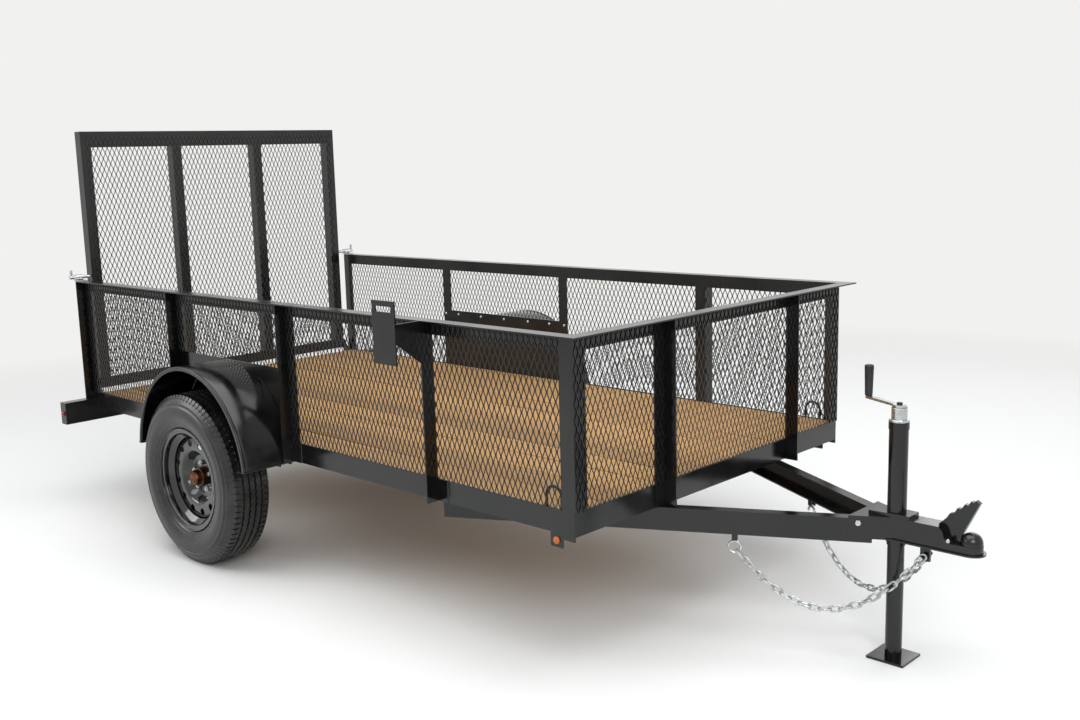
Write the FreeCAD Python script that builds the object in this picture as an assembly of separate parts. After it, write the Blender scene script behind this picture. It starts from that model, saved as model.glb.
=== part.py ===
import FreeCAD, Part
import math
import os

from FreeCAD import Vector

os.makedirs("parts", exist_ok=True)

# Single-axle utility trailer with mesh sides and a rear ramp gate, in millimetres.
# Written with X = 0 at the frame's rear face, +X to the coupler, +Y to the left side,
# and moved at the end so that the origin is under the middle of the whole trailer.

# Deck frame
frame_length = 3060.0
frame_width = 1534.0
frame_bottom = 450.0
rail_height = 76.2
rail_flange = 50.8
rail_wall = 4.8
cross_count = 4
cross_height = 32.0
cross_width = 50.8
cross_wall = 4.0
board_count = 11
board_gap = 4.0
board_thickness = 38.0
board_end_gap = 6.0

# Rear beam that carries the lamps
beam_depth = 50.0
beam_height = 102.0
beam_drop = 50.0
beam_reach = 178.0
beam_wall = 4.0

# Angle iron of the sides
angle_leg = 50.8
angle_wall = 4.8
side_height = 613.0
spare_post_share = 0.574
front_post_right_y = 332.0
front_post_left_y = 400.0
corner_post_drop = 14.0

# Expanded metal, drawn as a coarse lattice
mesh_wall = 3.0
diamond_width = 150.0
diamond_height = 250.0
strand_width = 14.0
mesh_border = 14.0

# Wheels and tyres
axle_setback = 40.0
wheel_reach = 133.0
tyre_radius = 344.5
tyre_width = 205.0
tread_width = 152.0
shoulder_drop = 20.0
belly_drop = 72.0
rim_flange_radius = 208.0
rim_flange_roll = 6.0
bead_radius = 190.5
rim_well_radius = 172.0
rim_well_width = 76.0
rim_width = 152.0
rim_wall = 3.0
disc_face_radius = 82.0
disc_rise = 40.0
disc_rise_radius = 112.0
disc_rim_radius = 162.0
hand_hole_count = 12
hand_hole_radius = 15.0
hand_hole_circle = 141.0
hand_hole_phase = 0.4
lug_circle_radius = 57.15
lug_count = 5
lug_phase = 0.25
lug_radius = 11.0
lug_length = 20.0
hub_radius = 38.0
hub_cap_radius = 31.0
hub_cap_length = 28.0
hub_cap_end_radius = 24.8
hub_length = 32.0
hub_flange_radius = 72.0
hub_flange_wall = 10.0
hub_bore_clearance = 0.05

# Axle and springs
axle_radius = 30.0
spindle_radius = 19.0
axle_end_inset = 85.0
hub_end_gap = 6.0
spring_inset = 32.0
spring_width = 44.5
# short enough that the rear hangers end before the fender struts
spring_length = 606.0
spring_rise = 26.0
leaf_wall = 7.0
leaf_count = 3
spring_eye_radius = 14.0
spring_seat_height = 6.0
spring_seat_length = 80.0
tie_plate_wall = 9.0
tie_plate_gap = 0.7
u_bolt_radius = 6.0
u_bolt_stub = 12.0
hanger_wall = 6.0
hanger_width = 60.0
hanger_eye_cover = 21.0

# Fenders, with the wheels a little behind their middle; narrow struts leave the tyres room
fender_share = 0.4018
fender_radius = 398.0
fender_width = 219.0
fender_drop = 257.0
fender_wall = 2.5
fender_lip = 16.0
fender_end_rise = 2.0
fender_post_gap = 0.6
bay_bar_height = 50.8
bay_bar_gap = 1.0
panel_wall = 3.0
strut_width = 20.0
strut_wall = 5.0

# Ramp gate
gate_inset = 34.0
gate_height = 1219.0
gate_bottom_rise = 10.0
gate_bar = 50.8
gate_top_bar = 74.0
gate_upright_spacing = 470.0
gate_mesh_inset = 25.0
hinge_pin_radius = 10.0
hinge_clearance = 0.05
hinge_gap = 8.0
hinge_pin_inside = 76.2
lug_wall = 10.0
lug_boss_radius = 22.0
latch_rod_radius = 8.0
latch_tube_radius = 13.0
latch_tube_length = 37.0
latch_pad_wall = 4.0
latch_pad_length = 56.0
latch_handle_height = 34.0
latch_stop_gap = 6.0
latch_weld = 1.0

# Tongue
tongue_height = 76.2
tongue_flange = 38.0
tongue_wall = 5.0
tongue_under_frame = 640.0
tongue_reach = 580.0
tongue_y_at_frame = 370.0
tongue_y_at_nose = 57.0

# Coupler for a 2 inch ball
ball_radius = 25.45
ball_centre_drop = 29.0
socket_wall = 6.5
coupler_overlap = 60.0
coupler_length = 342.0
coupler_half_width = 33.0
coupler_rise = 10.0
coupler_depth = 62.0
coupler_wall = 5.0
coupler_side_gap = 1.0
coupler_lip = 8.0
coupler_lip_start = 100.0
coupler_step_length = 70.0
coupler_step_drop = 44.0
coupler_step_end = 37.0
coupler_bend_along = 5.3
coupler_bend_up = 7.9

# Tongue jack
jack_setback = 232.0
jack_tube_radius = 28.6
jack_leg_radius = 25.4
jack_clearance = 0.1
jack_top = 753.0
jack_cap_depth = 30.0
jack_collar_radius = 30.5
jack_collar_height = 23.0
jack_hub_radius = 22.5
jack_hub_height = 44.0
jack_tube_drop = 6.0
jack_flange_wall = 12.0
jack_flange_rear = 72.0
jack_flange_front = 55.0
jack_flange_side = 40.0
jack_flange_nose = 32.0
jack_foot_size = 120.0
jack_foot_wall = 8.0
jack_leg_top = 455.0
crank_reach_x = 66.5
crank_reach_y = 32.0
crank_width = 20.0
crank_wall = 8.0
grip_radius = 14.5
grip_top_radius = 12.0
grip_height = 98.0

# Safety chains
chain_pitch = 31.75
link_rod = 7.0
link_width = 24.0
link_slack = 0.35
link_outer_corner = 6.6
link_inner_corner = 1.2
chain_hook_reach = 215.0
chain_sag = 185.0
hook_radius = 24.0
hook_rod = 9.0
hook_wall = 5.0
hook_slack = 0.6
hook_pin_radius = 5.0
hook_pin_drop = 14.0
anchor_radius = 3.8
anchor_setback = 138.0
anchor_drop = 38.0
anchor_half_width = 30.0
anchor_gap = 0.3
anchor_wall = 7.5

# Spare wheel carrier
spare_arm_reach = 102.0
spare_arm_depth = 65.0
spare_plate_width = 112.0
spare_plate_height = 207.0
spare_plate_top = 73.0
spare_slot_height = 18.0
spare_gusset = 140.0

# Small fittings
marker_radius = 12.0
marker_depth = 10.0
marker_plate_height = 45.0
marker_plate_length = 51.0
tail_lamp_recess = 6.0
tail_lamp_inset = 12.0
loop_rod_radius = 5.0
loop_width = 62.0
loop_height = 66.0
loop_setback = 92.0

half_width = frame_width / 2
rail_top = frame_bottom + rail_height
side_top = frame_bottom + side_height
outer_width = half_width + angle_leg
beam_bottom = frame_bottom - beam_drop
beam_top = beam_bottom + beam_height
beam_end_y = half_width + beam_reach
deck_bottom = frame_bottom + rail_wall + cross_height
deck_top = deck_bottom + board_thickness
fender_x = frame_length * fender_share
wheel_x = fender_x - axle_setback
tyre_centre_y = half_width + wheel_reach
axle_end_y = tyre_centre_y - axle_end_inset
spring_y = half_width - spring_inset
hub_z = tyre_radius
spring_bottom = hub_z + axle_radius + spring_seat_height
spring_top = spring_bottom + leaf_count * leaf_wall
post_before_wheel = fender_x - fender_radius - fender_post_gap - angle_wall
post_after_wheel = fender_x + fender_radius + fender_post_gap
post_spare = post_after_wheel + spare_post_share * (frame_length - post_after_wheel)
fender_top = side_top - fender_drop
gate_width = frame_width - 2 * gate_inset
gate_bottom = rail_top + gate_bottom_rise
gate_rear_x = -gate_bar
hinge_x = -gate_bar / 2
hinge_z = gate_bottom + gate_bar / 2
tongue_bottom = frame_bottom - tongue_height
tongue_nose_x = frame_length + tongue_reach
tongue_slope = (tongue_y_at_frame - tongue_y_at_nose) / tongue_reach
coupler_start_x = tongue_nose_x - coupler_overlap
coupler_top = frame_bottom + coupler_rise
coupler_bottom = frame_bottom - coupler_depth
ball_x = coupler_start_x + coupler_length
coupler_step_x = ball_x - coupler_step_end - coupler_step_length
jack_x = ball_x - jack_setback
nose_x = ball_x + coupler_half_width + coupler_lip
shift = Vector(-(nose_x + gate_rear_x) / 2, 0, 0)


def block(x0, x1, y0, y1, z0, z1):
    return Part.makeBox(x1 - x0, y1 - y0, z1 - z0, Vector(x0, y0, z0))


def rod(start, end, radius):
    start, end = Vector(*start), Vector(*end)
    return Part.makeCylinder(radius, (end - start).Length, start, end - start)


def six_sided(start, end, radius):
    """Hexagonal bar, for nuts and for thin bolts that repeat."""
    start, end = Vector(*start), Vector(*end)
    axis = (end - start).normalize()
    across = Vector(1, 0, 0) if abs(axis.x) < 0.5 else Vector(0, 1, 0)
    up = axis.cross(across)
    corners = [start + across * (radius * math.cos(math.pi * k / 3))
               + up * (radius * math.sin(math.pi * k / 3))
               for k in range(6)]
    return Part.Face(Part.makePolygon(corners + [corners[0]])).extrude(end - start)


def prism(points, along):
    """Extrude a closed outline of (x, y, z) points."""
    wire = Part.makePolygon([Vector(*p) for p in points] + [Vector(*points[0])])
    return Part.Face(wire).extrude(Vector(*along))


def join(pieces):
    return pieces[0].fuse(pieces[1:]).removeSplitter()


def mirrored(shape):
    return shape.mirror(Vector(0, 0, 0), Vector(0, 1, 0))


def save(node, solids):
    shape = Part.makeCompound(solids) if len(solids) > 1 else solids[0]
    shape.translate(shift)
    shape.exportStep("parts/" + node + ".step")


def save_pair(name, solids):
    """Save a right-hand node and its mirror image on the left."""
    left = [mirrored(s) for s in solids]
    save(name + "_right", solids)
    save(name + "_left", left)


def make_side_rail():
    """Frame angle with its upright leg outside and its flange inside."""
    y = -half_width
    front = frame_length - rail_wall
    web = block(beam_depth, front, y, y + rail_wall, frame_bottom, rail_top)
    flange = block(beam_depth, front, y, y + rail_flange, frame_bottom, frame_bottom + rail_wall)
    return join([web, flange])


def make_front_rail():
    x = frame_length
    web = block(x - rail_wall, x, -half_width, half_width, frame_bottom, rail_top)
    inner = half_width - rail_flange
    flange = block(x - rail_flange, x, -inner, inner, frame_bottom, frame_bottom + rail_wall)
    return join([web, flange])


def make_rear_beam():
    """Channel open to the rear, with closed ends outside the frame."""
    end = beam_end_y
    outer = block(0, beam_depth, -end, end, beam_bottom, beam_top)
    inner = block(-1, beam_depth - beam_wall, -end + beam_wall, end - beam_wall,
                  beam_bottom + beam_wall, beam_top - beam_wall)
    return outer.cut(inner)


def make_crossmembers():
    """Channels laid on the rail flanges, with their web upright."""
    pieces = []
    bottom = frame_bottom + rail_wall
    top = bottom + cross_height
    inner = half_width - rail_wall
    for i in range(cross_count):
        x = (frame_length - cross_width) * (i + 0.5) / cross_count
        web = block(x, x + cross_wall, -inner, inner, bottom, top)
        upper = block(x, x + cross_width, -inner, inner, top - cross_wall, top)
        lower = block(x, x + cross_width, -inner, inner, bottom, bottom + cross_wall)
        pieces.append(join([web, upper, lower]))
    return pieces


def make_deck_boards():
    pieces = []
    clear_width = frame_width - 2 * rail_wall - board_gap
    pitch = clear_width / board_count
    x0 = beam_depth + board_end_gap
    x1 = frame_length - rail_wall - board_end_gap
    for i in range(board_count):
        y = -clear_width / 2 + i * pitch
        pieces.append(block(x0, x1, y + board_gap / 2, y + pitch - board_gap / 2, deck_bottom, deck_top))
    return pieces


def make_side_post(x, bottom):
    """Angle with one leg flat on the frame rail and one leg standing out under the top rail."""
    y = -half_width
    flat = block(x, x + angle_leg, y - angle_wall, y, bottom, side_top - angle_leg)
    leg = block(x, x + angle_wall, y - angle_leg, y - angle_wall, bottom, side_top - angle_wall)
    return join([flat, leg])


def make_front_corner():
    """Angle round the front corner: its side leg covers the side rail, its front leg stands on the rail."""
    y = -half_width
    x = frame_length
    side = block(x - angle_leg, x, y - angle_wall, y, frame_bottom - corner_post_drop, side_top - angle_leg)
    front = block(x, x + angle_wall, y - angle_wall, y + angle_leg, rail_top, side_top - angle_leg)
    return join([side, front])


def make_posts():
    pieces = [make_side_post(0, beam_top)]
    for x in (post_before_wheel, post_after_wheel):
        pieces.append(make_side_post(x, frame_bottom))
    spare = make_side_post(post_spare, frame_bottom)
    pieces.append(spare.mirror(Vector(post_spare + angle_wall / 2, 0, 0), Vector(1, 0, 0)))
    pieces.append(make_front_corner())
    return pieces


def make_front_posts():
    """Two posts on the front rail, each with its outstanding leg towards the middle."""
    x = frame_length
    pieces = []
    # side of the centre line, distance of the outstanding leg from it
    for side, y in [(-1, front_post_right_y), (1, front_post_left_y)]:
        flat = block(x, x + angle_wall, y, y + angle_leg, frame_bottom, side_top - angle_leg)
        leg = block(x + angle_wall, x + angle_leg, y, y + angle_wall, frame_bottom, side_top - angle_wall)
        post = join([flat, leg])
        pieces.append(post if side > 0 else mirrored(post))
    return pieces


def make_top_rail():
    """Top angle of one side, flange outward."""
    y = -half_width
    flange = block(0, frame_length, y - angle_leg, y, side_top - angle_wall, side_top)
    web = block(0, frame_length, y - angle_wall, y, side_top - angle_leg, side_top)
    return join([flange, web])


def make_top_rail_front():
    x = frame_length
    flange = block(x, x + angle_leg, -outer_width, outer_width, side_top - angle_wall, side_top)
    web_end = half_width + angle_wall
    web = block(x, x + angle_wall, -web_end, web_end, side_top - angle_leg, side_top)
    return join([flange, web])


def lattice(width, height, thickness):
    """Sheet of coarse diamonds in the XZ plane, from the origin, with a plain border."""
    columns = max(1, round((width - 2 * mesh_border) / diamond_width))
    rows = max(1, round((height - 2 * mesh_border) / diamond_height))
    step_x = (width - 2 * mesh_border) / columns
    step_z = (height - 2 * mesh_border) / rows
    dx = step_x / 2 - strand_width / 2 * math.hypot(1, step_x / step_z)
    dz = dx * step_z / step_x
    outer = Part.makePolygon([Vector(0, 0, 0), Vector(width, 0, 0), Vector(width, 0, height),
                              Vector(0, 0, height), Vector(0, 0, 0)])
    wires = [outer]
    centres = [((i + 0.5) * step_x, (j + 0.5) * step_z) for i in range(columns) for j in range(rows)]
    centres += [(i * step_x, j * step_z) for i in range(1, columns) for j in range(1, rows)]
    for cx, cz in centres:
        x, z = mesh_border + cx, mesh_border + cz
        corners = [Vector(x - dx, 0, z), Vector(x, 0, z + dz), Vector(x + dx, 0, z), Vector(x, 0, z - dz)]
        wires.append(Part.makePolygon(corners + [corners[0]]))
    return Part.Face(wires, "Part::FaceMakerBullseye").extrude(Vector(0, -thickness, 0))


def make_side_mesh():
    """One sheet in each bay of the side, outside the flat legs of the posts."""
    y = -half_width - angle_wall
    top = side_top - angle_wall
    bays = [
        (angle_wall, post_before_wheel, rail_top),
        (post_before_wheel + angle_wall, post_after_wheel, fender_top + bay_bar_gap),
        (post_after_wheel + angle_wall, post_spare, rail_top),
        (post_spare + angle_wall, frame_length - angle_leg, rail_top),
    ]
    pieces = []
    for x0, x1, bottom in bays:
        sheet = lattice(x1 - x0, top - bottom, mesh_wall)
        sheet.translate(Vector(x0, y, bottom))
        pieces.append(sheet)
    return pieces


def make_front_mesh():
    """Three sheets on the front, between the corner posts and the two front posts."""
    x = frame_length + angle_wall
    top = side_top - angle_wall
    bays = [
        (-half_width, -front_post_right_y - angle_wall),
        (-front_post_right_y, front_post_left_y),
        (front_post_left_y + angle_wall, half_width),
    ]
    pieces = []
    for y0, y1 in bays:
        sheet = lattice(y1 - y0, top - rail_top, mesh_wall)
        sheet.rotate(Vector(0, 0, 0), Vector(0, 0, 1), 90)
        sheet.translate(Vector(x, y0, rail_top))
        pieces.append(sheet)
    return pieces


def make_fender_frame():
    """Bar over the wheel bay, the backing panel under it and the two fender struts."""
    y = -half_width
    x0 = post_before_wheel + angle_leg
    x1 = post_after_wheel
    bar = block(x0, x1, y - angle_wall, y, fender_top - bay_bar_height, fender_top)
    panel = block(x0, x1, y - panel_wall, y, rail_top - rail_height / 2, fender_top - bay_bar_height)
    struts = []
    for side in (-1, 1):
        x = fender_x + side * (fender_radius - strut_width / 2 - fender_wall)
        z = frame_bottom - strut_wall
        struts.append(block(x - strut_width / 2, x + strut_width / 2,
                            y - angle_wall - fender_width, y + rail_flange, z, frame_bottom))
    return [join([bar, panel])] + struts


def make_fender():
    """Round fender with a turned-in lip along its outer edge."""
    z = fender_top - fender_radius
    y0 = -half_width - angle_wall
    y1 = y0 - fender_width
    axis = Vector(0, -1, 0)
    outer = Part.makeCylinder(fender_radius, fender_width, Vector(fender_x, y0, z), axis)
    inner = Part.makeCylinder(fender_radius - fender_wall, fender_width, Vector(fender_x, y0, z), axis)
    lip = Part.makeCylinder(fender_radius, fender_wall, Vector(fender_x, y1, z), -axis)
    lip = lip.cut(Part.makeCylinder(fender_radius - fender_lip, fender_wall, Vector(fender_x, y1, z), -axis))
    ring = outer.cut(inner).fuse(lip).removeSplitter()
    reach = fender_radius + 1
    keep = block(fender_x - reach, fender_x + reach, y1 - 1, y0 + 1,
                 frame_bottom + fender_end_rise, z + reach)
    return ring.common(keep)


def make_axle():
    """Round axle tube with its spindles, spring seats and the clamps over the leaf packs."""
    pieces = [rod((wheel_x, -axle_end_y, hub_z), (wheel_x, axle_end_y, hub_z), axle_radius)]
    half = spring_width / 2
    clamp = half + u_bolt_radius
    plate_half = clamp + u_bolt_radius
    plate_z = spring_top + tie_plate_gap
    foot_z = hub_z - axle_radius
    for side in (-1, 1):
        y = side * spring_y
        pieces.append(rod((wheel_x, side * axle_end_y, hub_z),
                          (wheel_x, side * (tyre_centre_y + hub_length - 1), hub_z), spindle_radius))
        pieces.append(block(wheel_x - spring_seat_length / 2, wheel_x + spring_seat_length / 2,
                            y - half, y + half, hub_z, spring_bottom))
        reach = axle_radius + 2 * u_bolt_radius
        pieces.append(block(wheel_x - reach, wheel_x + reach, y - plate_half, y + plate_half,
                            plate_z, plate_z + tie_plate_wall))
        for across in (-clamp, clamp):
            pieces.append(block(wheel_x - reach, wheel_x + reach, y + across - u_bolt_radius,
                                y + across + u_bolt_radius, foot_z - u_bolt_radius, foot_z + u_bolt_radius))
            for along in (-1, 1):
                x = wheel_x + along * (axle_radius + u_bolt_radius)
                pieces.append(six_sided((x, y + across, foot_z),
                                        (x, y + across, plate_z + tie_plate_wall + u_bolt_stub),
                                         u_bolt_radius))
    return join(pieces)


def make_leaf(length, bottom, rise):
    """One leaf, an arc that sags to its middle."""
    y = -spring_y - spring_width / 2
    half = length / 2
    radius = (half * half + rise * rise) / (2 * rise)
    centre = Vector(wheel_x, y, bottom + radius)
    outer = Part.makeCylinder(radius, spring_width, centre, Vector(0, 1, 0))
    inner = Part.makeCylinder(radius - leaf_wall, spring_width, centre, Vector(0, 1, 0))
    return outer.cut(inner).common(block(wheel_x - half, wheel_x + half, y - 1, y + spring_width + 1,
                                         bottom - 1, bottom + rise + 2 * leaf_wall))


def make_spring():
    """Leaf pack: the longest leaf is on top and ends in an eye at the front and at the rear."""
    leaves = []
    for i in range(leaf_count):
        share = (i + 1) / leaf_count
        length = spring_length * share
        leaves.append(make_leaf(length, spring_bottom + i * leaf_wall, spring_rise * share * share))
    eye_z = spring_top + spring_rise
    for end in (-1, 1):
        x = wheel_x + end * spring_length / 2
        leaves.append(rod((x, -spring_y - spring_width / 2, eye_z), (x, -spring_y + spring_width / 2, eye_z),
                          spring_eye_radius))
    return [join(leaves)]


def make_spring_mounts():
    """Hangers of two cheeks and a top plate over each spring eye, on both sides of the frame."""
    pieces = []
    inner = spring_width / 2
    outer = inner + hanger_wall
    cheek_bottom = spring_top + spring_rise - hanger_eye_cover
    for end in (-1, 1):
        x = wheel_x + end * spring_length / 2
        x0, x1 = x - hanger_width / 2, x + hanger_width / 2
        top = block(x0, x1, -spring_y - outer, -spring_y + outer, frame_bottom - hanger_wall, frame_bottom)
        cheeks = [block(x0, x1, -spring_y + a, -spring_y + b, cheek_bottom, frame_bottom - hanger_wall)
                  for a, b in ((-outer, -inner), (inner, outer))]
        pieces.append(join([top] + cheeks))
    return pieces + [mirrored(p) for p in pieces]


def turned(points, y):
    """Revolve an outline of (distance outward from the wheel's middle, radius) about the axle line."""
    outline = [Vector(wheel_x, y - d, hub_z + r) for d, r in points]
    face = Part.Face(Part.makePolygon(outline + [outline[0]]))
    return face.revolve(Vector(wheel_x, y, hub_z), Vector(0, 1, 0), 360)


def make_tyre():
    half = tyre_width / 2
    tread = tread_width / 2
    bead = rim_width / 2
    inner_edge = bead - 2 * rim_flange_roll
    # distance outward, radius
    side = [
        (inner_edge, bead_radius),
        (bead, bead_radius),
        (bead, rim_flange_radius),
        (half, bead_radius + belly_drop),
        ((half + tread) / 2, tyre_radius - shoulder_drop),
        (tread, tyre_radius),
    ]
    outline = side + [(-d, r) for d, r in reversed(side)]
    return turned(outline, -tyre_centre_y)


def make_rim():
    """Steel rim with a drop centre and a disc with round hand holes."""
    half = rim_width / 2
    well = rim_well_width / 2
    w = rim_wall
    lip = half + w + rim_flange_roll
    seat = half - bead_radius + rim_well_radius
    # distance outward, radius: the tyre's side of the barrel, then its open side
    outside = [(well, rim_well_radius), (seat, bead_radius), (half, bead_radius),
               (half, rim_flange_radius), (lip, rim_flange_radius)]
    inside = [(lip, rim_flange_radius - w), (half + w, rim_flange_radius - w), (half + w, bead_radius - w),
              (seat, bead_radius - w), (well, rim_well_radius - w)]
    far_outside, far_inside = [[(-d, r) for d, r in reversed(points)] for points in (outside, inside)]
    barrel = turned(far_outside + outside + inside + far_inside, -tyre_centre_y)
    floor = rim_well_radius - w / 2
    # distance outward, radius, of the disc's face from the hub to the well
    front = [(w, hub_radius + w), (w, disc_face_radius), (disc_rise, disc_rise_radius),
             (disc_rise, disc_rim_radius), (well - 2 * w, floor)]
    back = [(d - w, r) for d, r in reversed(front)]
    disc = turned(front + back, -tyre_centre_y)
    holes = []
    for i in range(hand_hole_count):
        a = 2 * math.pi * (i + hand_hole_phase) / hand_hole_count
        x = wheel_x + hand_hole_circle * math.cos(a)
        z = hub_z + hand_hole_circle * math.sin(a)
        holes.append(rod((x, -tyre_centre_y - disc_rise - 1, z), (x, -tyre_centre_y, z), hand_hole_radius))
    return [barrel.fuse(disc.cut(Part.makeCompound(holes))).removeSplitter()]


def make_hub():
    """Hub with its flange, grease cap and the wheel nuts."""
    bore = spindle_radius + hub_bore_clearance
    inner = axle_end_y + hub_end_gap - tyre_centre_y
    cap = hub_length + hub_cap_length
    # distance outward, radius
    outline = [
        (inner, bore),
        (hub_length, bore),
        (hub_length, 0),
        (cap, 0),
        (cap, hub_cap_end_radius),
        (hub_length, hub_cap_radius),
        (hub_length, hub_radius),
        (0, hub_radius),
        (0, hub_flange_radius),
        (-hub_flange_wall, hub_flange_radius),
        (-hub_flange_wall, hub_radius),
        (inner, hub_radius),
    ]
    nuts = []
    for i in range(lug_count):
        a = 2 * math.pi * (i + lug_phase) / lug_count
        x = wheel_x + lug_circle_radius * math.cos(a)
        z = hub_z + lug_circle_radius * math.sin(a)
        y = -tyre_centre_y - rim_wall
        nuts.append(six_sided((x, y, z), (x, y - lug_length, z), lug_radius))
    return [turned(outline, -tyre_centre_y)] + nuts


def gate_bar_flat(y0, y1, z0, z1):
    """Leg of a gate angle that lies in the gate's front plane."""
    return block(-angle_wall, 0, y0, y1, z0, z1)


def make_gate_frame():
    """Border and uprights of angle with their flat legs in front, and the two hinge pins."""
    edge = gate_width / 2
    top = gate_bottom + gate_height
    pieces = [
        gate_bar_flat(-edge, edge, gate_bottom, gate_bottom + gate_bar),
        block(gate_rear_x, 0, -edge, edge, gate_bottom, gate_bottom + angle_wall),
        gate_bar_flat(-edge, edge, top - gate_top_bar, top),
        block(gate_rear_x, 0, -edge, edge, top - angle_wall, top),
    ]
    # right edge of each upright angle; its other leg runs back from there
    for y in (-edge, -(gate_upright_spacing + gate_bar) / 2,
              (gate_upright_spacing - gate_bar) / 2, edge - gate_bar):
        pieces.append(gate_bar_flat(y, y + gate_bar, gate_bottom, top))
        pieces.append(block(gate_rear_x, 0, y, y + angle_wall, gate_bottom, top))
    pin_end = edge + hinge_gap + lug_wall + hinge_gap
    for side in (-1, 1):
        boss = edge - hinge_pin_inside
        pieces.append(rod((hinge_x, side * boss, hinge_z), (hinge_x, side * pin_end, hinge_z),
                          hinge_pin_radius))
    return [join(pieces)]


def make_gate_mesh():
    """Sheet on the front of the gate, over the flat legs of its border."""
    width = gate_width - 2 * gate_mesh_inset
    sheet = lattice(width, gate_height - 2 * gate_mesh_inset, mesh_wall)
    sheet.rotate(Vector(0, 0, 0), Vector(0, 0, 1), 90)
    sheet.translate(Vector(0, -width / 2, gate_bottom + gate_mesh_inset))
    return [sheet]


def make_gate_lugs():
    """Lugs on the rear beam that the gate pins turn in."""
    pieces = []
    y0 = gate_width / 2 + hinge_gap
    for side in (-1, 1):
        ys = sorted((side * y0, side * (y0 + lug_wall)))
        boss = rod((hinge_x, ys[0], hinge_z), (hinge_x, ys[1], hinge_z), lug_boss_radius)
        arm = prism([(beam_depth, ys[0], beam_top), (0, ys[0], beam_top),
                     (hinge_x - lug_boss_radius, ys[0], hinge_z),
                     (hinge_x, ys[0], hinge_z + lug_boss_radius)],
                    (0, lug_wall, 0))
        bore = rod((hinge_x, ys[0] - 1, hinge_z), (hinge_x, ys[1] + 1, hinge_z),
                   hinge_pin_radius + hinge_clearance)
        pieces.append(arm.fuse(boss).removeSplitter().cut(bore))
    return pieces


def make_latch_pins():
    """Pad on the rear end of each top rail with a guide tube and its drawn pin, clear of the gate."""
    x = -latch_tube_radius
    z = side_top + latch_pad_wall + latch_tube_radius - latch_weld
    outer = outer_width - rail_wall
    inner = outer - latch_tube_length
    pad = block(x - latch_tube_radius, x - latch_tube_radius + latch_pad_length, -outer, -inner,
                side_top, side_top + latch_pad_wall)
    tube = rod((x, -outer, z), (x, -inner, z), latch_tube_radius)
    handle_y = -outer - 2 * latch_rod_radius
    pin = rod((x, handle_y - latch_rod_radius, z), (x, -gate_width / 2 - latch_stop_gap, z),
              latch_rod_radius)
    handle = rod((x, handle_y, z), (x, handle_y, z + latch_handle_height), latch_rod_radius - 2)
    right = join([pad, tube, pin, handle])
    return [right, mirrored(right)]


def tongue_frame():
    """Start, direction and inward direction of the right-hand tongue channel, seen from above."""
    turn = math.atan(tongue_slope)
    start_x = frame_length - tongue_under_frame
    start = Vector(start_x, -tongue_y_at_frame - tongue_slope * tongue_under_frame, 0)
    return start, Vector(math.cos(turn), math.sin(turn), 0), Vector(-math.sin(turn), math.cos(turn), 0)


def hook_place():
    """Middle of the chain hook's pin under the right-hand tongue, as distances along and inward."""
    start, along, inward = tongue_frame()
    return (frame_length + chain_hook_reach - start.x) / along.x, tongue_flange / 2


def make_tongue():
    """Channel of the A-frame, web outside, running under the frame, with the pin of the chain hook."""
    start, along, inward = tongue_frame()
    length = (tongue_nose_x - start.x) / along.x
    z0, z1 = tongue_bottom, frame_bottom
    web = block(0, length, 0, tongue_wall, z0, z1)
    upper = block(0, length, 0, tongue_flange, z1 - tongue_wall, z1)
    lower = block(0, length, 0, tongue_flange, z0, z0 + tongue_wall)
    pin_x, pin_y = hook_place()
    pin_z = z0 - hook_pin_drop
    near = hook_rod / 2 + link_slack
    cheeks = [block(pin_x - hook_rod, pin_x + hook_rod, pin_y + a, pin_y + b, pin_z - hook_rod, z0)
              for a, b in ((-near - tongue_wall, -near), (near, near + tongue_wall))]
    pin = rod((pin_x, pin_y - near - tongue_wall, pin_z), (pin_x, pin_y + near + tongue_wall, pin_z),
              hook_pin_radius)
    channel = join([web, upper, lower, pin] + cheeks)
    channel.rotate(Vector(0, 0, 0), Vector(0, 0, 1), math.degrees(math.atan2(along.y, along.x)))
    channel.translate(start)
    middle = block(start.x - tongue_height, ball_x, -frame_width, -1, pin_z - 2 * hook_rod, z1 + 1)
    return [channel.common(middle)]


def coupler_outline(grow, z):
    """Plan of the coupler: wide at the tongue, straight, and round about the ball."""
    side = coupler_half_width + grow
    wide = tongue_y_at_nose + tongue_slope * coupler_overlap + coupler_wall + coupler_side_gap + grow
    waist = coupler_start_x + (wide - side) / tongue_slope
    near = [Vector(ball_x, -side, z), Vector(waist, -side, z), Vector(coupler_start_x, -wide, z)]
    far = [Vector(v.x, -v.y, v.z) for v in reversed(near)]
    nose = Part.Arc(near[0], Vector(ball_x + side, 0, z), far[-1]).toShape()
    sides = Part.makePolygon(near + far)
    return Part.Face(Part.Wire(sides.Edges + [nose]))


def coupler_profile(drop):
    """Side view of the coupler: level, then an S-shaped step down to the ball housing."""
    top = coupler_top - drop
    x0, x1 = coupler_step_x, coupler_step_x + coupler_step_length
    low = top - coupler_step_drop
    middle = Vector((x0 + x1) / 2, 0, (top + low) / 2)
    start, end = Vector(x0, 0, top), Vector(x1, 0, low)
    bend = Vector(coupler_bend_along, 0, coupler_bend_up)
    upper = Part.Arc(start, (start + middle) * 0.5 + bend, middle).toShape()
    lower = Part.Arc(middle, (middle + end) * 0.5 - bend, end).toShape()
    rear_x, floor = coupler_start_x - coupler_wall, coupler_bottom - coupler_depth
    nose = nose_x + coupler_depth
    rest = Part.makePolygon([end, Vector(nose, 0, low), Vector(nose, 0, floor), Vector(rear_x, 0, floor),
                             Vector(rear_x, 0, top), start])
    face = Part.Face(Part.Wire([upper, lower] + rest.Edges))
    face.translate(Vector(0, -half_width, 0))
    return face.extrude(Vector(0, frame_width, 0))


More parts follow.
